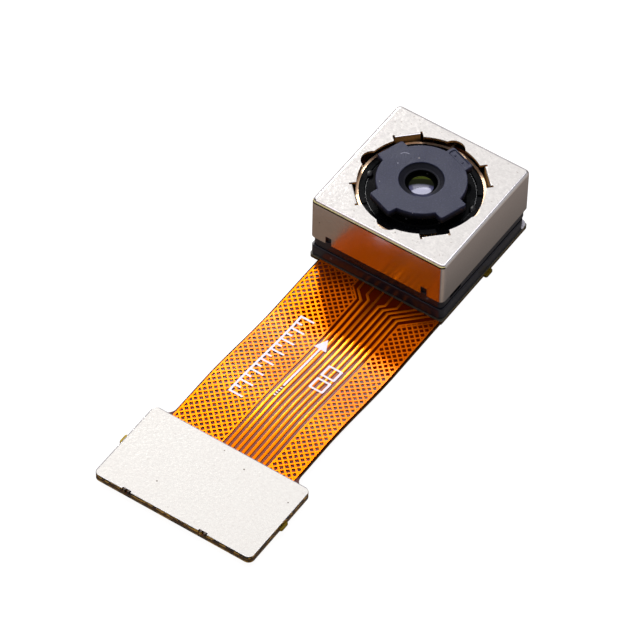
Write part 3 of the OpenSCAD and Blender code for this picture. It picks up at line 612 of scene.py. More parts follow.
@dataclass(frozen=True)
class PixelField(Finish):
    """The image sensor: a blue-black array with fine rows inside a gold-flecked border."""

    name: str = "pixel_field"
    half_w: float = 2.6
    half_l: float = 2.0

    def shade(self, shader: Shader) -> bpy.types.Material:
        """Rows and columns as waves, masked to the array."""
        across, along, _ = shader.axes()
        rows = (across * 60.0).wave() * (along * 60.0).wave() * 0.5 + 0.5
        inside = (1 - (across * across).above(self.half_w**2, 0.1)) * (
            1 - (along * along).above(self.half_l**2, 0.1)
        )
        base = shader.mix(inside, tint(92, 84, 60), tint(26, 30, 52))
        base = shader.mix(rows * inside * 0.4, base, tint(70, 110, 120))
        return shader.finish(Base_Color=base, Roughness=0.2, Coat_Weight=0.6, Coat_Roughness=0.05)


@dataclass(frozen=True)
class ScreenPrint(Finish):
    """White screen ink, a little thin and uneven."""

    name: str = "screen_print"

    def shade(self, shader: Shader) -> bpy.types.Material:
        """Mottled ink with a matt face."""
        mottle = shader.noise(10.0, 3.0)
        base = shader.mix(mottle, tint(244, 232, 240), tint(255, 252, 255))
        return shader.finish(Base_Color=base, Roughness=0.5, Normal=shader.bump(mottle, 0.004))


@dataclass(frozen=True)
class CornerGlue(Finish):
    """A pale drop of clear glue."""

    name: str = "corner_glue_clear"

    def shade(self, shader: Shader) -> bpy.types.Material:
        """Milky glue with a wet skin."""
        cloud = shader.noise(4.0, 2.0)
        base = shader.mix(cloud, tint(176, 172, 184), tint(226, 224, 230))
        return shader.finish(Base_Color=base, Roughness=0.3, Coat_Weight=1.0, Coat_Roughness=0.05)


@dataclass(frozen=True)
class Ceramic(Finish):
    """Fired ceramic or a bare chip: a plain fine-grained body."""

    name: str
    colour: Colour
    roughness: float = 0.4

    def shade(self, shader: Shader) -> bpy.types.Material:
        """Fine speckle over a flat tone."""
        speckle = shader.noise(30.0, 3.0)
        base = shader.mix(speckle, tuple(c * 0.75 for c in self.colour), tuple(c * 1.2 for c in self.colour))
        return shader.finish(Base_Color=base, Roughness=self.roughness, Normal=shader.bump(speckle, 0.002))


CAN_SHEET = FoldedSheet(
    "can_sheet", top=4.57, bend=0.2, front=-4.06, opening=3.9, pit_depth=0.009,
    specks=(
        ((-3.65, -4.25, 3.1), 0.035, tint(50, 40, 36)),
        ((1.13, -4.25, 2.75), 0.05, tint(255, 214, 170)),
        ((0.72, -3.6, 4.57), 0.03, tint(120, 104, 90)),
    ),
)
STIFFENER_SHEET = FoldedSheet(
    "stiffener_sheet", top=0.86, colour=tint(255, 250, 240), side_roughness=0.3, pit_depth=0.008,
    metallic=0.35, mottle=2.0, depth=0.05, dust=0.1, rims=((-4.56, -18.09),),
    specks=(
        ((1.65, -18.9, 0.86), 0.05, tint(150, 140, 130)),
        ((4.75, -19.4, 0.86), 0.04, tint(120, 110, 100)),
        ((0.1, -18.45, 0.86), 0.035, tint(140, 128, 118)),
        ((-1.6, -22.1, 0.86), 0.045, tint(132, 120, 112)),
        *(((x, -23.5, 0.86), 0.11, tint(96, 82, 70)) for x in (-2.675, -2.425, 2.125, 2.375)),
    ),
)
HOLDER_BLACK = MouldedPlastic("holder_black", tint(26, 27, 34), roughness=0.3)
BASE_BLACK = MouldedPlastic("base_black", tint(22, 23, 29), roughness=0.28)
CARRIER_BLACK = MouldedPlastic("carrier_black", tint(6, 7, 9), roughness=0.17, skin=0.001, sheen=0.06)
BARREL_SLATE = MouldedPlastic(
    "barrel_slate", tint(17, 18, 40), roughness=0.53, skin=0.014, sheen=0.46, gloss_tint=(0.76, 0.8, 1.0),
    # painted shade: near black below this height
    painted_shade_below=4.83,
    specks=(
        *(
            ((-1.92 + 0.04 * i + 0.012 * i * i * 0.25, 0.92 + 0.075 * i - 0.0062 * i * i, 5.02), 0.03,
             tint(138, 138, 150))
            for i in range(7)
        ),
        ((-0.95, 1.20, 5.02), 0.05, tint(126, 120, 116)),
        ((-1.68, 0.24, 5.02), 0.035, tint(150, 150, 160)),
        ((2.72, 0.19, 5.02), 0.04, tint(250, 250, 255)),
        ((-1.84, -2.03, 5.02), 0.035, tint(200, 200, 205)),
        ((0.94, -2.30, 5.02), 0.04, tint(190, 190, 200)),
    ),
)
RIM_BLACK = MouldedPlastic("rim_black", tint(30, 31, 36), roughness=0.26, skin=0.001, sheen=1.0)
FUNNEL_SLATE = MouldedPlastic(
    "funnel_slate", tint(13, 13, 20), roughness=0.53, skin=0.008, sheen=0.2, gloss_tint=(0.8, 0.82, 1.0),
    # painted shade below this height; the specks are a painted shadow on the funnel's far side and a painted
    # lighter patch on its near side
    painted_shade_below=4.82,
    specks=(((-0.62, 0.95, 4.92), 0.9, tint(5, 5, 5)), ((0.62, -0.95, 4.92), 0.55, tint(40, 41, 66))),
)
GLUE_BLACK = MouldedPlastic("glue_black", tint(10, 10, 12), roughness=0.35, skin=0.001, sheen=0.15)
FLOCK_BLACK = MouldedPlastic("flock_black", tint(8, 8, 8), roughness=0.8, sheen=0.1)
TIE_GOLD = Plating("tie_gold", tint(128, 108, 34), roughness=0.5, grain=0.008)
SPRING_BRONZE = Plating("spring_bronze", tint(255, 212, 190), roughness=0.26)
GOLD = Plating("gold_plate", tint(214, 166, 60), roughness=0.3)
NICKEL = Plating("nickel_plate", tint(176, 174, 172), roughness=0.3)
TERMINAL_TIN = Plating("terminal_tin", tint(206, 196, 172), roughness=0.35)
SOLDER = Plating("solder", tint(206, 208, 212), roughness=0.18)
FILTER_GLASS = Ceramic("filter_glass", tint(120, 156, 166), roughness=0.06)
LENS_RESIN = Ceramic("lens_resin", tint(66, 70, 58), roughness=0.1)
CAPACITOR_TAN = Ceramic("capacitor_tan", tint(150, 122, 92))
CHIP_GREY = Ceramic("chip_grey", tint(52, 52, 60), roughness=0.3)

# --------------------------------------------------------------------------- bench for meshes


def arc(centre: Point, radius: float, start: float, end: float, steps: int) -> list[Point]:
    """Points along an arc, both ends included.

    Args:
        centre: the arc's centre.
        radius: its radius.
        start: the angle it starts at, in degrees.
        end: the angle it ends at.
        steps: how many pieces it has.

    Returns:
        The points in order.
    """
    angles = (math.radians(start + (end - start) * i / steps) for i in range(steps + 1))
    return [(centre[0] + radius * math.cos(a), centre[1] + radius * math.sin(a)) for a in angles]


def turned(points: Iterable[Point], degrees: float) -> list[Point]:
    """The points turned about the origin."""
    c, s = math.cos(math.radians(degrees)), math.sin(math.radians(degrees))
    return [(x * c - y * s, x * s + y * c) for x, y in points]


def rounded(half_w: float, half_l: float, radius: float, steps: int = 6) -> list[Point]:
    """A rectangle with round corners about the origin, anticlockwise from the +X side."""
    corners = [(1, 1, 0), (-1, 1, 90), (-1, -1, 180), (1, -1, 270)]
    found: list[Point] = []
    for sx, sy, start in corners:
        centre = (sx * (half_w - radius), sy * (half_l - radius))
        found += arc(centre, radius, start, start + 90, steps)
    return found


def ring(radius: float, steps: int) -> list[Point]:
    """A circle about the origin, without its last point."""
    return arc((0, 0), radius, 0, 360, steps)[:-1]


def moved(points: Iterable[Point], dx: float, dy: float) -> list[Point]:
    """The points shifted."""
    return [(x + dx, y + dy) for x, y in points]


class Bench:
    """A mesh in the making, in millimetres."""

    def __init__(self) -> None:
        """Starts with nothing on the bench."""
        self.bm = bmesh.new()

    def loop(self, points: Sequence[Point], z: float) -> list[bmesh.types.BMEdge]:
        """A closed loop of edges at one height."""
        verts = [self.bm.verts.new((x, y, z)) for x, y in points]
        return [self.bm.edges.new((a, b)) for a, b in zip(verts, verts[1:] + verts[:1])]

    def fill(self, *loops: Sequence[bmesh.types.BMEdge]) -> list[bmesh.types.BMFace]:
        """Fills the flat region between an outer loop and any loops inside it."""
        edges = [edge for loop in loops for edge in loop]
        made = bmesh.ops.triangle_fill(self.bm, use_beauty=True, edges=edges, normal=(0, 0, 1))
        return [item for item in made["geom"] if isinstance(item, bmesh.types.BMFace)]

    def plate(self, outer: Sequence[Point], holes: Sequence[Sequence[Point]], low: float, high: float,
              ease: float = 0.0) -> list[bmesh.types.BMFace]:
        """A flat plate with holes, whose upper edges may be eased.

        Args:
            outer: the outline.
            holes: the outlines of the holes.
            low: the height of its underside.
            high: the height of its upper face.
            ease: the width of the eased edge round the upper face and its holes.

        Returns:
            The faces of the upper side.
        """
        faces = self.fill(*(self.loop(points, low) for points in (outer, *holes)))
        up = self.raise_region(faces, high - low - ease)
        if ease:
            for share in (0.35, 0.65):
                bmesh.ops.inset_region(
                    self.bm, faces=up, thickness=ease * share, depth=ease * (1 - share), use_even_offset=True
                )
            bmesh.ops.inset_region(self.bm, faces=up, thickness=ease * 0.25, use_even_offset=True)
        return up

    def raise_region(self, faces: Sequence[bmesh.types.BMFace], height: float) -> list[bmesh.types.BMFace]:
        """Extrudes a region straight up and leaves its underside closed."""
        made = bmesh.ops.extrude_face_region(self.bm, geom=list(faces), use_keep_orig=True)["geom"]
        verts = [item for item in made if isinstance(item, bmesh.types.BMVert)]
        bmesh.ops.translate(self.bm, vec=(0, 0, height), verts=verts)
        return [item for item in made if isinstance(item, bmesh.types.BMFace)]

    def lathe(self, profile: Sequence[Point], closed: bool = False) -> None:
        """Turns a profile of radius and height once round the optical axis.

        Args:
            profile: its points.
            closed: whether the profile's last point joins its first.
        """
        verts = [self.bm.verts.new((r, 0.0, z)) for r, z in profile]
        pairs = list(zip(verts, verts[1:])) + ([(verts[-1], verts[0])] if closed else [])
        edges = [self.bm.edges.new(pair) for pair in pairs]
        bmesh.ops.spin(
            self.bm, geom=verts + edges, cent=(0, 0, 0), axis=(0, 0, 1), angle=math.tau,
            steps=TURN_STEPS, use_merge=True
        )

    def cut(self, place: float, axis: int) -> None:
        """Cuts the mesh across an axis without parting it."""
        normal = Vector((0, 0, 0))
        normal[axis] = 1.0
        self.trim(place * normal, normal, keep=True)

    def trim(self, place: Vector, normal: Vector, keep: bool = False) -> None:
        """Cuts the mesh by a plane and, unless keep is set, drops what the normal points to."""
        geom = self.bm.verts[:] + self.bm.edges[:] + self.bm.faces[:]
        bmesh.ops.bisect_plane(self.bm, geom=geom, plane_co=place, plane_no=normal, clear_outer=not keep)

    def sheet(self, thickness: float) -> None:
        """Gives a surface its thickness on the side away from its normals."""
        bmesh.ops.recalc_face_normals(self.bm, faces=self.bm.faces)
        bmesh.ops.solidify(self.bm, geom=self.bm.faces[:], thickness=thickness)

    def merge(self) -> None:
        """Merges points that lie on each other."""
        bmesh.ops.remove_doubles(self.bm, verts=self.bm.verts, dist=MERGE_GAP)

    def lift(self, height: Callable[[float], float]) -> None:
        """Raises every point by a height that depends on its place along the tail."""
        for vert in self.bm.verts:
            vert.co.z += height(vert.co.y)

    def finish(self, name: str, finish: Finish, body: str, slot: str, replaces: Sequence[str] = (),
               crease: float = 35.0, edge: Finish | None = None,
               bends: tuple[Vector, Vector] | None = None) -> bpy.types.Object:
        """Makes the mesh a piece of the model, with its faces turned outwards.

        Args:
            name: the piece's name.
            finish: its finish.
            body: the body that it moves with.
            slot: the record's material slot; not used.
            replaces: the CAD nodes that it stands for.
            crease: the angle in degrees above which an edge stays sharp.
            edge: a finish of its own for the upright faces.
            bends: where it leaves its body and joins the lens group, in millimetres; if given, it is tied to no
                body.

        Returns:
            The piece's object.
        """
        bmesh.ops.recalc_face_normals(self.bm, faces=self.bm.faces)
        bmesh.ops.scale(self.bm, vec=(MM, MM, MM), verts=self.bm.verts)
        for face in self.bm.faces:
            face.smooth = True
            face.material_index = int(edge is not None and abs(face.normal.z) < 0.5)
        mesh = bpy.data.meshes.new(name)
        self.bm.to_mesh(mesh)
        self.bm.free()
        mesh.set_sharp_from_angle(angle=math.radians(crease))
        for surface in (finish, edge):
            if surface is not None:
                mesh.materials.append(surface.material())
        piece = bpy.data.objects.new(name, mesh)
        bpy.context.scene.collection.objects.link(piece)
        if bends:
            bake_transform(piece)
        else:
            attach(piece, body)
        if replaces:
            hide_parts(*replaces)
        LOG.info("%s: %d faces", name, len(mesh.polygons))
        return piece


def ease_edges(piece: bpy.types.Object, width: float) -> None:
    """Rounds a piece's sharp edges with a live bevel, and keeps its flats flat.

    Args:
        piece: the piece.
        width: the bevel's width in millimetres.
    """
    bevel = piece.modifiers.new("eased_edges", "BEVEL")
    bevel.width = width * MM
    bevel.segments = BEVEL_SEGMENTS
    bevel.limit_method = "ANGLE"
    bevel.angle_limit = math.radians(BEVEL_ANGLE)
    bevel.harden_normals = True
    bevel.use_clamp_overlap = True


def eased_copy(node: str, name: str, finish: Finish, body: str, slot: str, width: float) -> None:
    """Puts a copy of a CAD node's solid in its place, with its flats joined and its edges rounded.

    Args:
        node: the CAD node.
        name: the new piece's name.
        finish: its finish.
        body: the body that it moves with.
        slot: the record's material slot.
        width: the width of the rounding in millimetres.
    """
    bench = Bench()
    bench.bm.from_mesh(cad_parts[node].data)
    bmesh.ops.scale(bench.bm, vec=(1 / MM,) * 3, verts=bench.bm.verts)
    bench.merge()
    bmesh.ops.dissolve_limit(
        bench.bm, angle_limit=math.radians(1.0), verts=bench.bm.verts, edges=bench.bm.edges
    )
    ease_edges(bench.finish(name, finish, body, slot, [node]), width)


def dress_node(node: str, finish: Finish) -> None:
    """Gives a CAD node that stays in view its finish, in every material slot of its object."""
    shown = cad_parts[node]
    if not shown.material_slots:
        shown.data.materials.append(finish.material())
    for place in shown.material_slots:
        place.material = finish.material()
    LOG.info("%s: kept, finished as %s", node, finish.name)


def rect(x0: float, y0: float, x1: float, y1: float) -> list[Point]:
    """A rectangle's corners, anticlockwise."""
    return [(x0, y0), (x1, y0), (x1, y1), (x0, y1)]


class Side(Enum):
    """The side of the tail that a part lies on, seen with the lens up and the tail towards you."""

    LEFT = -1
    RIGHT = 1


# ------------------------------------------------------------------------------ shield can


@dataclass
class ShieldCan:
    """The folded can: bent walls with notches, the scalloped opening and the four yoke tabs."""

    half: float = 4.25
    low: float = 1.70
    top: float = 4.57
    sheet: float = 0.15
    bend: float = 0.2
    corner: float = 0.3
    opening: float = 3.47
    scallop: float = 0.66
    deep_out: float = 0.3
    shallow_out: float = 0.12
    tab_in: float = 3.6
    tab_bend: float = 0.07
    tab_w: float = 1.4
    tab_l: float = 1.5
    slit: float = 0.12
    slit_over: float = 0.02
    notch_x: float = 3.05
    notch_w: float = 0.38
    notch_h: float = 0.55
    edge: float = 0.022

    def build(self) -> None:
        """Makes the shell with its tabs and eases its stamped edges."""
        bench = Bench()
        self._skin(bench)
        self._fold_tabs(bench)
        self._notch(bench)
        bench.sheet(self.sheet)
        piece = bench.finish("can_shell", CAN_SHEET, HEAD, "can", ["shield_can"])
        ease_edges(piece, self.edge)

    def _skin(self, bench: Bench) -> None:
        """The outer skin: walls, the bend round the top, and the flat top with its opening."""
        steps = 7
        levels = [(0.0, self.low)] + [
            (self.bend * (1 - math.cos(t)), self.top - self.bend * (1 - math.sin(t)))
            for t in (math.radians(90 * i / steps) for i in range(steps + 1))
        ]
        loops = [
            bench.loop(rounded(self.half - back, self.half - back, self.corner - back, 8), z)
            for back, z in levels
        ]
        back = self.bend + 0.015
        loops.append(bench.loop(rounded(self.half - back, self.half - back, self.corner - back, 8), self.top))
        for lower, upper in zip(loops, loops[1:]):
            bmesh.ops.bridge_loops(bench.bm, edges=lower + upper)
        bench.fill(loops[-1], bench.loop(self.opening_outline(), self.top))

    def opening_outline(self) -> list[Point]:
        """The opening: a scallop on each side and a slit notch on each diagonal."""
        points: list[Point] = []
        reach = self.tab_in + self.tab_bend
        half = self.tab_w / 2 + self.slit
        far = self.tab_in + self.sheet + self.slit_over
        meet = math.degrees(math.asin(half / self.opening))
        ends = {}
        for side in range(4):
            out = self.deep_out if side else self.shallow_out
            centre = self.opening + out - self.scallop
            x = (self.opening**2 - self.scallop**2 + centre**2) / (2 * centre)
            y = math.sqrt(self.opening**2 - x**2)
            ends[side] = (centre, math.degrees(math.atan2(y, x - centre)), math.degrees(math.atan2(y, x)))
        for side in range(4):
            centre, swing, start = ends[side]
            following = ends[(side + 1) % 4][2]
            points += turned(arc((centre, 0), self.scallop, -swing, swing, 14), 90 * side)
            points += turned(arc((0, 0), self.opening, start, 45 - meet, 12)[1:], 90 * side)
            notch = [(far, -half), (far, self.slit - half), (reach, self.slit - half)]
            notch += [(x, -y) for x, y in reversed(notch)]
            points += turned(notch, 45 + 90 * side)
            points += turned(arc((0, 0), self.opening, 45 + meet, 90 - following, 12)[:-1], 90 * side)
        return points

    def _notch(self, bench: Bench) -> None:
        """Opens the four notches in the lower edge of the front and back walls."""
        for side in (-1, 1):
            for end in (-1, 1):
                bench.cut(side * self.notch_x + end * self.notch_w / 2, 0)
        bench.cut(self.low + self.notch_h, 2)
        gone = [
            face for face in bench.bm.faces
            if abs(abs(face.calc_center_median().x) - self.notch_x) < self.notch_w / 2
            and abs(face.calc_center_median().y) > self.half - 0.01
            and face.calc_center_median().z < self.low + self.notch_h
        ]
        bmesh.ops.delete(bench.bm, geom=gone, context="FACES")

    def _fold_tabs(self, bench: Bench) -> None:
        """Folds the four yoke tabs down from the flat top, at the ends between the slits."""
        root = self.tab_in + self.tab_bend
        under = self.top - self.tab_bend
        steps = 6
        ends = [edge for edge in bench.bm.edges if edge.is_boundary and self._is_root(edge, root)]
        path = arc((root, under), self.tab_bend, 90, 180, steps)[1:] + [(self.tab_in, self.top - self.tab_l)]
        for edge in ends:
            middle = (edge.verts[0].co + edge.verts[1].co) / 2
            way = Vector((middle.x, middle.y, 0)).normalized()
            here = Vector((root, self.top))
            for point in path:
                made = bmesh.ops.extrude_edge_only(bench.bm, edges=[edge])["geom"]
                verts = [item for item in made if isinstance(item, bmesh.types.BMVert)]
                step = Vector(point) - here
                bmesh.ops.translate(bench.bm, vec=way * step.x + Vector((0, 0, step.y)), verts=verts)
                edge = next(item for item in made if isinstance(item, bmesh.types.BMEdge)
                            and set(item.verts) == set(verts))
                here = Vector(point)

    def _is_root(self, edge: bmesh.types.BMEdge, root: float) -> bool:
        """Whether an edge of the opening is where a tab is bent down."""
        middle = (edge.verts[0].co + edge.verts[1].co) / 2
        return abs(edge.calc_length() - self.tab_w) < 0.01 and abs(middle.xy.length - root) < 0.01


# ----------------------------------------------------------------------------- lens and barrel


@dataclass
class LensBarrel:
    """The barrel: the lobed face plate with its gate pocket, the neck, the thread and the funnel."""

    base: float = 1.45
    shoulder: float = 3.97
    face_low: float = 4.60
    face: float = 5.02
    thread: float = 3.0
    neck: float = 2.40
    rim_r: float = 0.03
    disc: float = 2.47
    lobe_reach: float = 2.84
    lobe_w: float = 1.72
    lobe_corner: float = 0.14
    lobe_turn: float = 70.7
    ease: float = 0.045
    gate_w: float = 0.36
    gate_l: float = 1.3
    gate_rim: float = 0.12
    gate_d: float = 0.046
    funnel: float = 1.21
    ledge: float = 0.96
    ledge_d: float = 0.2
    entrance: float = 0.88
    entrance_d: float = 0.23
    seats: tuple[tuple[float, float], ...] = field(
        default_factory=lambda: tuple((1.47 + 0.27 * i, 4.5 - 0.49 * i) for i in range(5))
    )

    def build(self) -> None:
        """Makes the face plate, the body below it and the funnel in its middle."""
        self._face_plate()
        self._body()
        self._funnel()

    def lobed_outline(self) -> list[Point]:
        """The round face with four round-cornered lobes."""
        points: list[Point] = []
        half, corner = self.lobe_w / 2, self.lobe_corner
        meet = math.degrees(math.asin(half / self.disc))
        for k in range(4):
            lobe = arc((self.lobe_reach - corner, corner - half), corner, -90, 0, 5)
            lobe += arc((self.lobe_reach - corner, half - corner), corner, 0, 90, 5)
            rim = arc((0, 0), self.disc, meet, 90 - meet, 14)
            points += turned(lobe + rim, self.lobe_turn + 90 * k)
        return points

    def _face_plate(self) -> None:
        """The lobed plate, open for the funnel and sunk for the gate pocket."""
        bench = Bench()
        middle = self.lobe_reach - self.gate_rim - self.gate_w / 2
        pocket = turned(moved(rounded(self.gate_w / 2, self.gate_l / 2, 0.06, 3), middle, 0), self.lobe_turn)
        bench.plate(
            self.lobed_outline(), [ring(self.funnel, 64), pocket], self.face_low, self.face, self.ease
        )
        bench.raise_region(bench.fill(bench.loop(pocket, self.face_low)), self.face - self.face_low - self.gate_d)
        for along in (-0.3, 0.34):
            pip = turned(moved(ring(0.07, 12), middle - 0.02, along), self.lobe_turn)
            top = bench.raise_region(bench.fill(bench.loop(pip, self.face - self.gate_d - 0.01)), 0.03)
            bmesh.ops.inset_region(bench.bm, faces=top, thickness=0.02, depth=0.01)
        bench.finish("barrel_face", BARREL_SLATE, LENS, "barrel", ["lens_barrel"], crease=50)

    def _body(self) -> None:
        """The neck, the shoulder with its polished rim, the threaded wall and the lens seats inside."""
        bench = Bench()
        profile = [(self.neck, self.face_low + 0.02), (self.neck, self.shoulder + 0.05)]
        profile += [(self.neck + 0.05, self.shoulder), (self.thread - 0.03, self.shoulder)]
        turns, pitch = 9, 0.25
        top = self.shoulder - 0.03
        for i in range(turns):
            z = top - i * pitch
            profile += [(self.thread, z), (self.thread, z - 0.1), (self.thread - 0.06, z - 0.14),
                        (self.thread - 0.06, z - 0.21)]
        profile += [(self.thread, self.base + 0.05), (self.thread - 0.05, self.base)]
        for radius, z in reversed(self.seats):
            profile += [(radius, profile[-1][1]), (radius, z)]
        profile += [(self.entrance, self.seats[0][1]), (self.entrance, self.face_low + 0.02)]
        bench.lathe(profile, closed=True)
        bench.finish("barrel_body", CARRIER_BLACK, LENS, "barrel", ["lens_barrel"])
        rim = Bench()
        rim.lathe(arc((self.thread - self.rim_r, self.shoulder), self.rim_r, 0, 360, 10)[:-1], closed=True)
        rim.finish("barrel_rim", RIM_BLACK, LENS, "barrel")

    def _funnel(self) -> None:
        """The stepped funnel down to the entrance."""
        bench = Bench()
        lip = self.face - self.ease
        ledge_z = self.face - self.ledge_d
        profile = [(self.funnel + 0.001, self.face_low), (self.funnel + 0.001, lip)]
        steps = 3
        for i in range(1, steps + 1):
            radius = self.funnel + (self.ledge - self.funnel) * i / steps
            z = lip + (ledge_z - lip) * i / steps
            profile += [(radius + 0.022, z + 0.004), (radius, z - 0.004)]
        low = self.face - self.entrance_d
        profile += [(self.entrance + 0.04, low + 0.02), (self.entrance, low), (self.entrance, self.face_low)]
        bench.lathe(profile, closed=True)
        bench.finish("barrel_funnel", FUNNEL_SLATE, LENS, "barrel", ["lens_barrel"])


@dataclass
class FrontLens:
    """The front lens: a coated dome with a ground rim, and the glue that locks the barrel."""

    rim_r: float = 1.45
    low: float = 4.08
    thickness: float = 0.42
    cap_r: float = 0.7
    cap_h: float = 0.15
    bead_r: float = 0.2
    bead_h: float = 0.05
    joint_r: float = 3.0
    joint_z: float = 4.10
    beads: tuple[float, ...] = (10.0, 100.0, 190.0)

    def build(self) -> None:
        """Turns the lens and sets the beads of glue."""
        bench = Bench()
        top = self.low + self.thickness
        ball = (self.cap_r**2 + self.cap_h**2) / (2 * self.cap_h)
        swing = math.degrees(math.asin(self.cap_r / ball))
        cap = arc((0, top + self.cap_h - ball), ball, 90 - swing, 90, 12)[:-1]
        rim = [(0.0, self.low), (self.rim_r, self.low), (self.rim_r, top)]
        bench.lathe(rim + cap + [(0.0, top + self.cap_h)])
        bench.merge()
        bench.finish("front_lens", CoatedLens(), LENS, "lens", ["lens_element_1"])
        glue = Bench()
        for angle in self.beads:
            a = math.radians(angle)
            x, y = self.joint_r * math.cos(a), self.joint_r * math.sin(a)
            place = Matrix.Translation((x, y, self.joint_z - 0.02))
            flatten = Matrix.Diagonal((self.bead_r, self.bead_r * 1.25, self.bead_h + 0.02, 1.0))
            bmesh.ops.create_uvsphere(
                glue.bm, u_segments=24, v_segments=12, radius=1.0,
                matrix=place @ Matrix.Rotation(a, 4, "Z") @ flatten
            )
        glue.finish("glue_beads", GLUE_BLACK, LENS, "black_glue", ["lens_lock_glue"], crease=80)


# ------------------------------------------------------------------------------------ tail


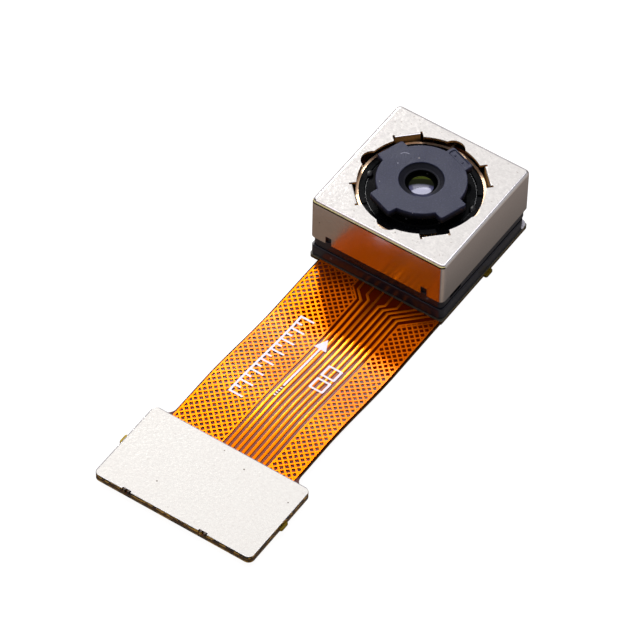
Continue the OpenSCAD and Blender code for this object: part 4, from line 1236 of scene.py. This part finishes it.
@dataclass
class Tail:
    """The flat flex tail: the film, its two hatched grounds, the traces and the printed marks."""

    head_half: float = 4.25
    left: float = -3.66
    right: float = 4.20
    plate_front: float = -23.53
    plate_back: float = -18.02
    plate_left: float = -4.635
    plate_right: float = 5.255
    corner: float = 0.35
    fillet: float = 0.6
    film_t: float = 0.135
    copper_t: float = 0.043
    print_t: float = 0.012
    print_w: float = 0.13
    rise: float = 0.5
    rise_from: float = -8.55
    rise_run: float = 6.4
    tie_out: float = 0.2
    tie_w: float = 0.65
    copper_left: float = -3.56
    copper_right: float = 4.10
    border: float = 0.085
    rise_steps: int = 26
    hatch_pitch: float = 0.415
    hatch_line: float = 0.088
    trace_x: float = -0.139
    trace_pitch: float = 0.336
    trace_w: float = 0.164
    trace_ease: float = 0.012
    fan_x: tuple[float, ...] = (-0.72, -0.1, 0.54, 1.13, 1.74, 2.64, 3.07, 3.46)
    fan_y: tuple[float, ...] = (1.13, 0.9, 0.9, 0.97, 1.05, 1.1, 1.2, 1.25)

    def build(self) -> None:
        """Makes every layer of the tail, from the film up."""
        self._film()
        self._ties()
        for side in Side:
            self._hatch(side)
        self._traces()
        self._marks()

    def height(self, y: float) -> float:
        """How far the film's underside has risen at that place along the tail."""
        t = min(1.0, max(0.0, (self.rise_from - y) / self.rise_run))
        return self.rise * t * t * (3 - 2 * t)

    def _follow(self, bench: Bench) -> None:
        """Cuts a layer across where the film bends, and lifts it on to the film."""
        for i in range(self.rise_steps + 1):
            bench.cut(self.rise_from - self.rise_run * i / self.rise_steps, 1)
        bench.lift(self.height)

    def film_outline(self) -> list[Point]:
        """The film's outline under the head, along the tail and under the stiffener."""
        h, r, f = self.head_half, 0.15, self.fillet
        right_side = [(self.right, -h), (h, -h + 0.001)]
        head = arc((h - r, h - r), r, 0, 90, 4) + arc((r - h, h - r), r, 90, 180, 4)
        head += arc((r - h, r - h), r, 180, 270, 4)
        left_side = [(self.left, -h)] + arc((self.left - f, self.plate_back + f), f, 0, -90, 6)
        c = self.corner
        plate = arc((self.plate_left + c, self.plate_back - c), c, 90, 180, 6)
        plate += arc((self.plate_left + c, self.plate_front + c), c, 180, 270, 6)
        plate += arc((self.plate_right - c, self.plate_front + c), c, 270, 360, 6)
        plate += arc((self.plate_right - c, self.plate_back - c), c, 0, 90, 6)
        back = arc((self.right + f, self.plate_back + f), f, 270, 180, 6)
        return right_side + head + left_side + plate + back

    def _film(self) -> None:
        """The film, with a darker layered edge."""
        bench = Bench()
        bench.plate(self.film_outline(), [], 0.0, self.film_t, 0.02)
        self._follow(bench)
        bench.finish("flex_film", AmberFilm(), HEAD, "film", ["flex_circuit"], edge=FilmEdge())

    def _ties(self) -> None:
        """The three gold-plated stubs of the tie bars, beside the head and beside the plate."""
        bench = Bench()
        middle = (self.plate_front + self.plate_back) / 2
        half = self.tie_w / 2
        places = (
            (self.head_half, half * 2 / 3),
            (self.plate_left, middle + 0.12),
            (self.plate_right - 0.04, middle + 0.16),
        )
        for x, y in places:
            outline = moved(rounded(self.tie_out, half, 0.12, 4), x, y)
            bench.plate(outline, [], 0.01, self.film_t + 0.02, 0.03)
        self._follow(bench)
        bench.finish("tie_stubs", TIE_GOLD, HEAD, "gold")

    def _window(self, side: Side) -> tuple[list[Point], list[Point]]:
        """The outline of a hatched ground and of the window inside its border.

        Args:
            side: the side of the tail it lies on.

        Returns:
            The two outlines.
        """
        b, low, top = self.border, self.plate_back, -self.head_half
        if side is Side.LEFT:
            inner = self.trace_x - self.trace_pitch + self.trace_w / 2
            cut, lead = 0.64, 0.5
            outline = [(self.copper_left, low), (inner, low), (inner, top - lead - cut), (inner - cut, top - lead),
                       (inner - cut, top), (self.copper_left, top)]
            window = [(self.copper_left + b, low + b), (inner - b, low + b),
                      (inner - b, top - lead - cut - b / 2), (inner - cut - b, top - lead - b / 2),
                      (inner - cut - b, top - b), (self.copper_left + b, top - b)]
            return outline, window
        inner = self.trace_x + 8 * self.trace_pitch - self.trace_w / 2
        cut = self.copper_right - inner - 0.2
        outline = [(inner, low), (self.copper_right, low), (self.copper_right, top), (inner + cut, top),
                   (inner, top - cut)]
        window = [(inner + b, low + b), (self.copper_right - b, low + b), (self.copper_right - b, top - b),
                  (inner + cut + b * 0.4, top - b), (inner + b, top - cut - b / 2)]
        return outline, window

    def _hatch(self, side: Side) -> None:
        """One hatched ground: a lattice of fine lines on the diagonals in a solid border."""
        outline, window = self._window(side)
        lattice = Bench()
        cell = self.hatch_pitch / math.sqrt(2)
        xs, ys = [p[0] for p in window], [p[1] for p in window]
        middle = Vector(((min(xs) + max(xs)) / 2, (min(ys) + max(ys)) / 2, self.film_t))
        count = math.ceil((max(ys) - min(ys) + max(xs) - min(xs)) / math.sqrt(2) / cell) + 2
        matrix = Matrix.Translation(middle) @ Matrix.Rotation(math.radians(45), 4, "Z")
        bmesh.ops.create_grid(
            lattice.bm, x_segments=count, y_segments=count, size=count * cell / 2, matrix=matrix
        )
        far = [
            face for face in lattice.bm.faces
            if not min(xs) - cell < face.calc_center_median().x < max(xs) + cell
            or not min(ys) - cell < face.calc_center_median().y < max(ys) + cell
        ]
        bmesh.ops.delete(lattice.bm, geom=far, context="FACES")
        openings = lattice.bm.faces[:]
        bmesh.ops.inset_individual(
            lattice.bm, faces=openings, thickness=self.hatch_line / 2, use_even_offset=True
        )
        bmesh.ops.delete(lattice.bm, geom=openings, context="FACES")
        self._trim_to(lattice, window)
        lattice.fill(lattice.loop(outline, self.film_t), lattice.loop(window, self.film_t))
        lattice.raise_region(lattice.bm.faces[:], self.copper_t)
        self._follow(lattice)
        lattice.finish(f"ground_hatch_{side.name.lower()}", CoveredCopper(), HEAD, "copper",
                       [f"ground_mesh_{side.name.lower()}"])

    @staticmethod
    def _trim_to(bench: Bench, window: Sequence[Point]) -> None:
        """Trims a flat sheet to a window, whose hollow corner is cut apart from the rest."""
        area = sum(a[0] * b[1] - b[0] * a[1] for a, b in zip(window, [*window[1:], window[0]]))
        sign = 1 if area > 0 else -1
        edges = list(zip(window, [*window[1:], window[0]]))
        straight = [edge for edge in edges if edge[0][0] == edge[1][0] or edge[0][1] == edge[1][1]]
        xs, ys = [p[0] for p in window], [p[1] for p in window]
        for (ax, ay), (bx, by) in straight:
            outer = Vector((sign * (by - ay), sign * (ax - bx), 0)).normalized()
            at_limit = (outer.x and ax in (min(xs), max(xs))) or (outer.y and ay in (min(ys), max(ys)))
            if at_limit:
                bench.trim(Vector((ax, ay, 0)), outer)
        for (ax, ay), (bx, by) in edges:
            outer = Vector((sign * (by - ay), sign * (ax - bx), 0)).normalized()
            bench.trim(Vector((ax, ay, 0)), outer, keep=True)
        gone = [face for face in bench.bm.faces if not inside(window, face.calc_center_median().xy)]
        bmesh.ops.delete(bench.bm, geom=gone, context="FACES")

    def _traces(self) -> None:
        """Eight traces that run along the tail and fan out towards the head."""
        bench = Bench()
        for k, (fan_x, fan_y) in enumerate(zip(self.fan_x, self.fan_y)):
            x = self.trace_x + k * self.trace_pitch
            turn = -self.head_half - fan_y
            rise = min(abs(fan_x - x), fan_y)
            leave = (x + math.copysign(rise, fan_x - x), turn + rise)
            path = [(x, self.plate_back), (x, turn), leave, (leave[0], -self.head_half)]
            bench.fill(bench.loop(ribbon(path, (self.trace_w, self.trace_w, self.trace_w * 0.8)), self.film_t))
        top = bench.raise_region(bench.bm.faces[:], self.copper_t - self.trace_ease / 2)
        bmesh.ops.inset_region(
            bench.bm, faces=top, thickness=self.trace_ease, depth=self.trace_ease / 2, use_even_offset=True
        )
        self._follow(bench)
        # its 0.8 is a painted shade on the traces beyond the head's shadow
        finish = CoveredCopper("trace_copper", (1.0, 0.18, 0.0), (1.0, 0.22, 0.0), 0.8)
        bench.finish("signal_lines", finish, HEAD, "copper", ["signal_traces"])

    def _marks(self) -> None:
        """Generic marks in white ink: a scale, an arrow with a dashed tail, and two squares."""
        bench = Bench()
        low = self.film_t + self.copper_t
        w = self.print_w
        x, top, length, count, reach = -2.1, -8.1, 6.8, 15, 0.9
        comb = [(x - w / 2, top), (x - w / 2, top - length)]
        for i in range(count):
            y = top - length + i * (length - w) / (count - 1)
            tip = x - w / 2 + (reach if i % 2 == 0 else reach / 2)
            comb += [(x + w / 2, y)] * (i > 0) + [(tip, y), (tip, y + w)] + [(x + w / 2, y + w)] * (i < count - 1)
        shapes = [(comb, [])]
        top, length, width = -8.7, 4.2, 0.8
        shapes.append(([(0, top), (-width / 2, top - width), (-w / 2, top - width), (-w / 2, top - length),
                        (w / 2, top - length), (w / 2, top - width), (width / 2, top - width)], []))
        for i in range(1, 5):
            y = top - length - 0.2 * i
            shapes.append((rect(-w / 2, y - 0.05, w / 2, y + 0.05), []))
        for y in (-10.6, -11.7):
            hole = moved(rounded(0.45 - w, 0.45 - w, 0.04, 2), 1.5, y)
            shapes.append((moved(rounded(0.45, 0.45, 0.06, 2), 1.5, y), [hole]))
        for outline, holes in shapes:
            bench.plate(outline, holes, low, low + self.print_t)
        self._follow(bench)
        bench.finish("ink_marks", ScreenPrint(), HEAD, "print", ["printed_marks"])


def inside(outline: Sequence[Point], point: Vector) -> bool:
    """Whether a point is inside an outline, by the number of its sides to the right of it."""
    crossed = 0
    for (ax, ay), (bx, by) in zip(outline, [*outline[1:], outline[0]]):
        if (ay > point.y) != (by > point.y) and point.x < ax + (point.y - ay) / (by - ay) * (bx - ax):
            crossed += 1
    return crossed % 2 == 1


def ribbon(path: Sequence[Point], widths: Sequence[float]) -> list[Point]:
    """The outline of a strip that follows a path, mitred at its bends.

    Args:
        path: the points of its middle line.
        widths: the strip's width at each stretch of the path.

    Returns:
        The outline.
    """
    dirs = [(Vector(b) - Vector(a)).normalized() for a, b in zip(path, path[1:])]
    left: list[Point] = []
    right: list[Point] = []
    for i, point in enumerate(path):
        before, after = dirs[max(0, i - 1)], dirs[min(i, len(dirs) - 1)]
        along = (before + after).normalized()
        half = widths[min(i, len(widths) - 1)] / 2 / max(0.5, along.dot(after))
        across = Vector((-along.y, along.x)) * half
        left.append(tuple(Vector(point) + across))
        right.append(tuple(Vector(point) - across))
    return right + left[::-1]


# ----------------------------------------------------------------------------- stiffener end


@dataclass
class Stiffener:
    """The steel plate over the connector, its burrs where it was broken off, and the liner below."""

    left: float = -4.635
    right: float = 5.255
    front: float = -23.53
    back: float = -18.02
    corner: float = 0.35
    low: float = 0.66
    top: float = 0.86
    ease: float = 0.045
    bites: tuple[float, ...] = (-2.55, 2.25)
    bite_w: float = 0.5
    bite_d: float = 0.12
    stub_w: float = 0.16
    stub_out: float = 0.04
    liner: tuple[float, float] = (0.4, 0.5)

    def build(self) -> None:
        """Makes the plate with eased edges, and the liner under the film."""
        bench = Bench()
        bench.plate(self._outline(), [], self.low, self.top, self.ease)
        bench.finish(
            "stiffener_plate", STIFFENER_SHEET, HEAD, "steel", ["connector_stiffener"], edge=LinerLayers()
        )
        bench = Bench()
        half_w, half_l = (self.right - self.left) / 2, (self.back - self.front) / 2
        middle = ((self.right + self.left) / 2, (self.back + self.front) / 2)
        bench.plate(moved(rounded(half_w, half_l, self.corner), *middle), [], *self.liner)
        bench.finish("stiffener_liner", LinerLayers(), HEAD, "film")

    def _outline(self) -> list[Point]:
        """The plate's outline with the bites and stubs in its front edge."""
        c = self.corner
        points = arc((self.left + c, self.front + c), c, 180, 270, 8)
        for x in self.bites:
            deep, out = self.front + self.bite_d, self.front - self.stub_out
            points += [(x - self.bite_w / 2, self.front), (x - self.bite_w / 2, deep)]
            for side in (-1, 1):
                middle = x + side * self.bite_w / 4
                a, b = middle - self.stub_w / 2, middle + self.stub_w / 2
                tip = arc((middle, out + self.stub_w / 2), self.stub_w / 2, 180, 360, 6)
                points += [(a, deep), *tip, (b, deep)]
            points += [(x + self.bite_w / 2, deep), (x + self.bite_w / 2, self.front)]
        points += arc((self.right - c, self.front + c), c, 270, 360, 8)
        points += arc((self.right - c, self.back - c), c, 0, 90, 8)
        points += arc((self.left + c, self.back - c), c, 90, 180, 8)
        return points


# ------------------------------------------------------------------------------ plain bodies


@dataclass
class MouldedBodies:
    """The black bodies and the board, whose solids keep their forms and get rounded edges."""

    edge: float = 0.03

    def build(self) -> None:
        """Rounds the edges of the carrier, the base and the board."""
        eased_copy("lens_carrier", "carrier_body", CARRIER_BLACK, LENS, "black_plastic", self.edge)
        eased_copy("actuator_base", "base_body", BASE_BLACK, HEAD, "black_plastic", self.edge)
        eased_copy("sensor_board", "board_body", BoardResin(), HEAD, "board", self.edge / 3)


@dataclass
class LeafSpring:
    """The upper leaf spring: fixed corner pads, a ring that moves with the carrier, and arms cut across where they
    would bend.

    Known fault: at the joint's upper limit the arms' outer legs rise into the spacer frame.
    """

    low: float = 4.10
    high: float = 4.14
    ring_r: float = 3.5
    hole_r: float = 3.35
    pad: tuple[Point, ...] = ((4.08, 1.846), (4.08, 3.83), (3.83, 4.08), (1.846, 4.08))
    arm: tuple[Point, ...] = ((3.45, 0.35), (4.01, 0.35), (4.01, 2.1))
    arm_w: float = 0.1
    bend: Point = (1.8, 0.5)
    bend_steps: int = 10

    def build(self) -> None:
        """Makes the pads, the ring and the arms."""
        bench = Bench()
        for k in range(4):
            bench.plate(turned(self.pad, 90 * k), [], self.low, self.high)
        bench.finish("leaf_pads", SPRING_BRONZE, HEAD, "spring_bronze", ["upper_leaf_spring"])
        bench = Bench()
        bench.plate(ring(self.ring_r, 128), [ring(self.hole_r, 128)], self.low, self.high)
        bench.finish("leaf_ring", SPRING_BRONZE, LENS, "spring_bronze")
        for k in range(4):
            self._arm(k)

    def _arm(self, k: int) -> None:
        """Makes one arm, cut across many times along its stretch between its pad and the ring."""
        bench = Bench()
        bench.plate(turned(ribbon(self.arm, (self.arm_w, self.arm_w)), 90 * k), [], self.low, self.high)
        fixed, moving = (Vector((*turned([(self.arm[-1][0], y)], 90 * k)[0], self.low)) for y in self.bend)
        for i in range(self.bend_steps + 1):
            bench.trim(fixed.lerp(moving, i / self.bend_steps), (moving - fixed).normalized(), keep=True)
        bench.finish(f"leaf_arm_{k + 1}", SPRING_BRONZE, HEAD, "spring_bronze", bends=(fixed, moving))


@dataclass
class SensorHolder:
    """The moulded holder on the board, with its seam, cavity and filter seat, and its glue.

    The corner radii go round from the back right, anticlockwise seen from above.
    """

    half: float = 4.19
    radii: tuple[float, float, float, float] = (0.6, 0.4, 0.14, 0.3)
    low: float = 0.26
    seam: float = 1.0
    top: float = 1.10
    seam_d: float = 0.1
    cavity_top: float = 0.68
    seat_low: float = 0.78
    cavity: float = 3.6
    window: Point = (2.75, 2.25)
    seat: Point = (3.15, 2.65)
    ease: float = 0.025

    def build(self) -> None:
        """Stacks the holder's levels and puts the glue in its back corner."""
        bench = Bench()
        outer = self._outline(0.0)
        bench.plate(outer, [rounded(self.cavity, self.cavity, 0.1, 3)], self.low, self.cavity_top)
        bench.plate(outer, [rounded(*self.window, 0.1, 3)], self.cavity_top, self.seat_low)
        bench.plate(outer, [rounded(*self.seat, 0.1, 3)], self.seat_low, self.seam, self.ease)
        bench.plate(self._outline(self.seam_d), [rounded(*self.seat, 0.1, 3)], self.seam - 0.02, self.top)
        bench.finish("holder_body", HOLDER_BLACK, HEAD, "holder_plastic", ["sensor_holder"])
        glue = Bench()
        for (x, y), size in (((3.98, 4.0), 0.24), ((4.08, 3.84), 0.16), ((3.84, 4.1), 0.15)):
            matrix = Matrix.Translation((x, y, self.low)) @ Matrix.Diagonal((size, size, size * 1.5, 1.0))
            bmesh.ops.create_uvsphere(glue.bm, u_segments=20, v_segments=12, radius=1.0, matrix=matrix)
        glue.trim(Vector((0, 0, self.low - 0.001)), Vector((0, 0, -1)))
        glue.finish("corner_glue", CornerGlue(), HEAD, "holder_plastic", crease=80)

    def _outline(self, back: float) -> list[Point]:
        """The outline, set back by a distance."""
        points: list[Point] = []
        for (sx, sy), start, radius in zip(((1, 1), (-1, 1), (-1, -1), (1, -1)), (0, 90, 180, 270), self.radii):
            centre = (sx * (self.half - radius), sy * (self.half - radius))
            points += arc(centre, max(0.03, radius - back), start, start + 90, 8)
        return points


@dataclass
class KeptNodes:
    """The CAD nodes that stay as they are, each with its finish."""

    finishes: dict[str, Finish] = field(
        default_factory=lambda: {
            "spacer_frame": BASE_BLACK,
            **{f"magnet_{k}": NICKEL for k in range(1, 5)},
            "voice_coil": WoundWire(),
            **{f"lens_element_{k}": LENS_RESIN for k in range(2, 6)},
            **{f"light_baffle_{k}": FLOCK_BLACK for k in range(1, 5)},
            "lens_retaining_ring": FLOCK_BLACK,
            "lower_leaf_spring_left": SPRING_BRONZE,
            "lower_leaf_spring_right": SPRING_BRONZE,
            "coil_terminal_left": TERMINAL_TIN,
            "coil_terminal_right": TERMINAL_TIN,
            "solder_joint_left": SOLDER,
            "solder_joint_right": SOLDER,
            "infrared_filter": FILTER_GLASS,
            "image_sensor": PixelField(),
            "bond_wires": GOLD,
            "focus_driver_chip": CHIP_GREY,
            "memory_chip": CHIP_GREY,
            **{f"capacitor_{k}": CAPACITOR_TAN for k in range(1, 5)},
            "connector_housing": BASE_BLACK,
            "connector_contacts": GOLD,
            "solder_nail_left": NICKEL,
            "solder_nail_right": NICKEL,
        }
    )

    def build(self) -> None:
        """Gives each node its finish."""
        for node, finish in self.finishes.items():
            dress_node(node, finish)


# --------------------------------------------------------------------------------- studio


@dataclass
class Studio:
    """The camera, the softboxes and the plain pale floor."""

    azimuth: float = 33.139
    elevation: float = 49.689
    roll: float = 1.428
    distance: float = 266.5
    across: float = -5.401
    up: float = -7.204
    datum: float = 4.572
    lens: float = 281.25
    sky: Colour = tint(140, 140, 148)
    sky_strength: float = 0.6
    floor_glow: float = 0.95

    def axes(self) -> Matrix:
        """The camera's right, up and back directions, as the columns of a matrix."""
        a, e, r = (math.radians(v) for v in (self.azimuth, self.elevation, self.roll))
        back = Vector((math.sin(a) * math.cos(e), -math.cos(a) * math.cos(e), math.sin(e)))
        right = Vector((math.cos(a), math.sin(a), 0))
        up = back.cross(right)
        rows = (math.cos(r) * right + math.sin(r) * up, math.cos(r) * up - math.sin(r) * right, back)
        return Matrix(rows).transposed()

    def camera(self) -> None:
        """Sets the camera at its viewing angle."""
        data = bpy.data.cameras.new("studio_camera")
        data.lens, data.sensor_width, data.sensor_fit = self.lens, 36.0, "HORIZONTAL"
        data.clip_start = 0.005
        made = bpy.data.objects.new("studio_camera", data)
        bpy.context.scene.collection.objects.link(made)
        axes = self.axes()
        place = axes @ Vector((self.across, self.up, self.distance)) + Vector((0, 0, self.datum))
        made.matrix_world = Matrix.Translation(place * MM) @ axes.to_4x4()
        bpy.context.scene.camera = made

    def light(self) -> None:
        """Hangs the key light and the softboxes, and sets the sky and the colour handling."""
        self._softbox("key", (-0.535, 0.574, 0.62), 0.5, 0.035, 0.035, 364.0, (1.0, 0.985, 0.96))
        self._softbox("panel_back", (-0.36, 0.55, 0.75), 0.42, 0.36, 0.3, 0.64, (1.0, 0.992, 0.985))
        self._softbox("panel_over", (-0.1, 0.1, 1.0), 0.5, 0.7, 0.3, 2.0, (0.85, 0.85, 1.0))
        self._softbox("panel_right", (0.8, 0.5, 0.42), 0.5, 0.4, 0.3, 0.3, (1.0, 0.97, 0.95))
        self._softbox("panel_front", (-0.353, -0.541, 0.763), 0.5, 0.35, 0.3, 0.12, (1.0, 0.97, 0.94))
        self._softbox("panel_low", (-0.62, 0.77, 0.14), 0.5, 0.62, 0.22, 0.55, (0.93, 0.9, 1.0))
        world = bpy.data.worlds.new("studio_sky")
        world.use_nodes = True
        background = world.node_tree.nodes["Background"]
        background.inputs["Color"].default_value = (*self.sky, 1.0)
        background.inputs["Strength"].default_value = self.sky_strength
        bpy.context.scene.world = world
        bpy.context.scene.view_settings.view_transform = "Standard"

    def _softbox(self, name: str, way: Colour, distance: float, width: float, height: float,
                 radiance: float, colour: Colour) -> None:
        """A rectangular softbox that faces the object.

        Args:
            name: the light's name.
            way: the direction in which it hangs.
            distance: how far away it is, in metres.
            width: its width in metres.
            height: its height in metres.
            radiance: how bright its face is.
            colour: its colour.
        """
        data = bpy.data.lights.new(name, "AREA")
        data.shape, data.size, data.size_y = "RECTANGLE", width, height
        data.energy = radiance * math.pi * width * height
        data.color = colour
        made = bpy.data.objects.new(name, data)
        made.visible_camera = False
        bpy.context.scene.collection.objects.link(made)
        place = Vector(way).normalized() * distance + Vector((0.0, -0.008, 0.0))
        made.matrix_world = Matrix.Translation(place) @ Vector(way).to_track_quat("Z", "Y").to_matrix().to_4x4()

    def floor(self) -> None:
        """Lays the plain pale floor, and under it a glowing grey sheet, seen only in reflections, that the bare
        metal mirrors.
        """
        pale = self._sheet("floor", -0.02, Shader("floor_white"), tint(120, 120, 120), (1.0, 1.0, 1.0),
                           self.floor_glow)
        pale.visible_glossy = False
        # a glowing sheet, unseen but in reflections, whose tones are painted reflections for the bare metal
        shader = Shader("reflection_glow_sheet")
        grey = self._sheet("reflection_glow_sheet", -0.4, shader, (0.0, 0.0, 0.0), self._mirrored(shader), 1.0)
        grey.visible_camera = False
        grey.visible_diffuse = False
        grey.visible_shadow = False

    @staticmethod
    def _mirrored(shader: Shader) -> bpy.types.NodeSocket:
        """A painted reflection for the walls to mirror: brown on the left, paler ahead of the front corner and far
        out.
        """
        across, along, _ = shader.axes()
        lit = ((across - 5.2) * 0.35 + (along + 2.0) * 0.06).clamped()
        tone = shader.mix(lit, tint(94, 88, 85), tint(124, 115, 111))
        tone = shader.mix(1 - across.above(-1.0, 4.0), tone, tint(120, 102, 90))
        tone = shader.speck(tone, (7.2, -6.4, -0.4), 2.2, tint(140, 126, 116))
        far = across * across + along * along
        distant = shader.mix((across * 0.8 + along).above(2.0, 16.0), tint(222, 214, 218), tint(170, 160, 156))
        return shader.mix(far.above(190.0, 150.0), tone, distant)

    @staticmethod
    def _sheet(name: str, z: float, shader: Shader, colour: Colour, shine: object,
               glow: float) -> bpy.types.Object:
        """A wide flat sheet of the studio.

        Args:
            name: its name.
            z: its height in millimetres.
            shader: the start of its material.
            colour: its colour.
            shine: the colour or socket in which it shines by itself.
            glow: how strongly it shines.

        Returns:
            The sheet's object.
        """
        bm = bmesh.new()
        bmesh.ops.create_grid(bm, x_segments=1, y_segments=1, size=3.0, matrix=Matrix.Translation((0, 0, z * MM)))
        mesh = bpy.data.meshes.new(name)
        bm.to_mesh(mesh)
        bm.free()
        mesh.materials.append(
            shader.finish(Base_Color=colour, Roughness=0.9, Specular_IOR_Level=0.0,
                          Emission_Color=shine, Emission_Strength=glow)
        )
        sheet = bpy.data.objects.new(name, mesh)
        bpy.context.scene.collection.objects.link(sheet)
        return sheet


def main() -> None:
    """Builds the sub-assemblies in order."""
    logging.basicConfig(level=logging.INFO, format="%(name)s: %(message)s")
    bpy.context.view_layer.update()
    studio = Studio()
    studio.camera()
    head = (ShieldCan(), MouldedBodies(), LeafSpring(), SensorHolder(), LensBarrel(), FrontLens())
    for assembly in (*head, Tail(), Stiffener(), KeptNodes()):
        LOG.info("building %s", type(assembly).__name__)
        assembly.build()
    studio.light()
    studio.floor()


if __name__ == "__main__":
    main()
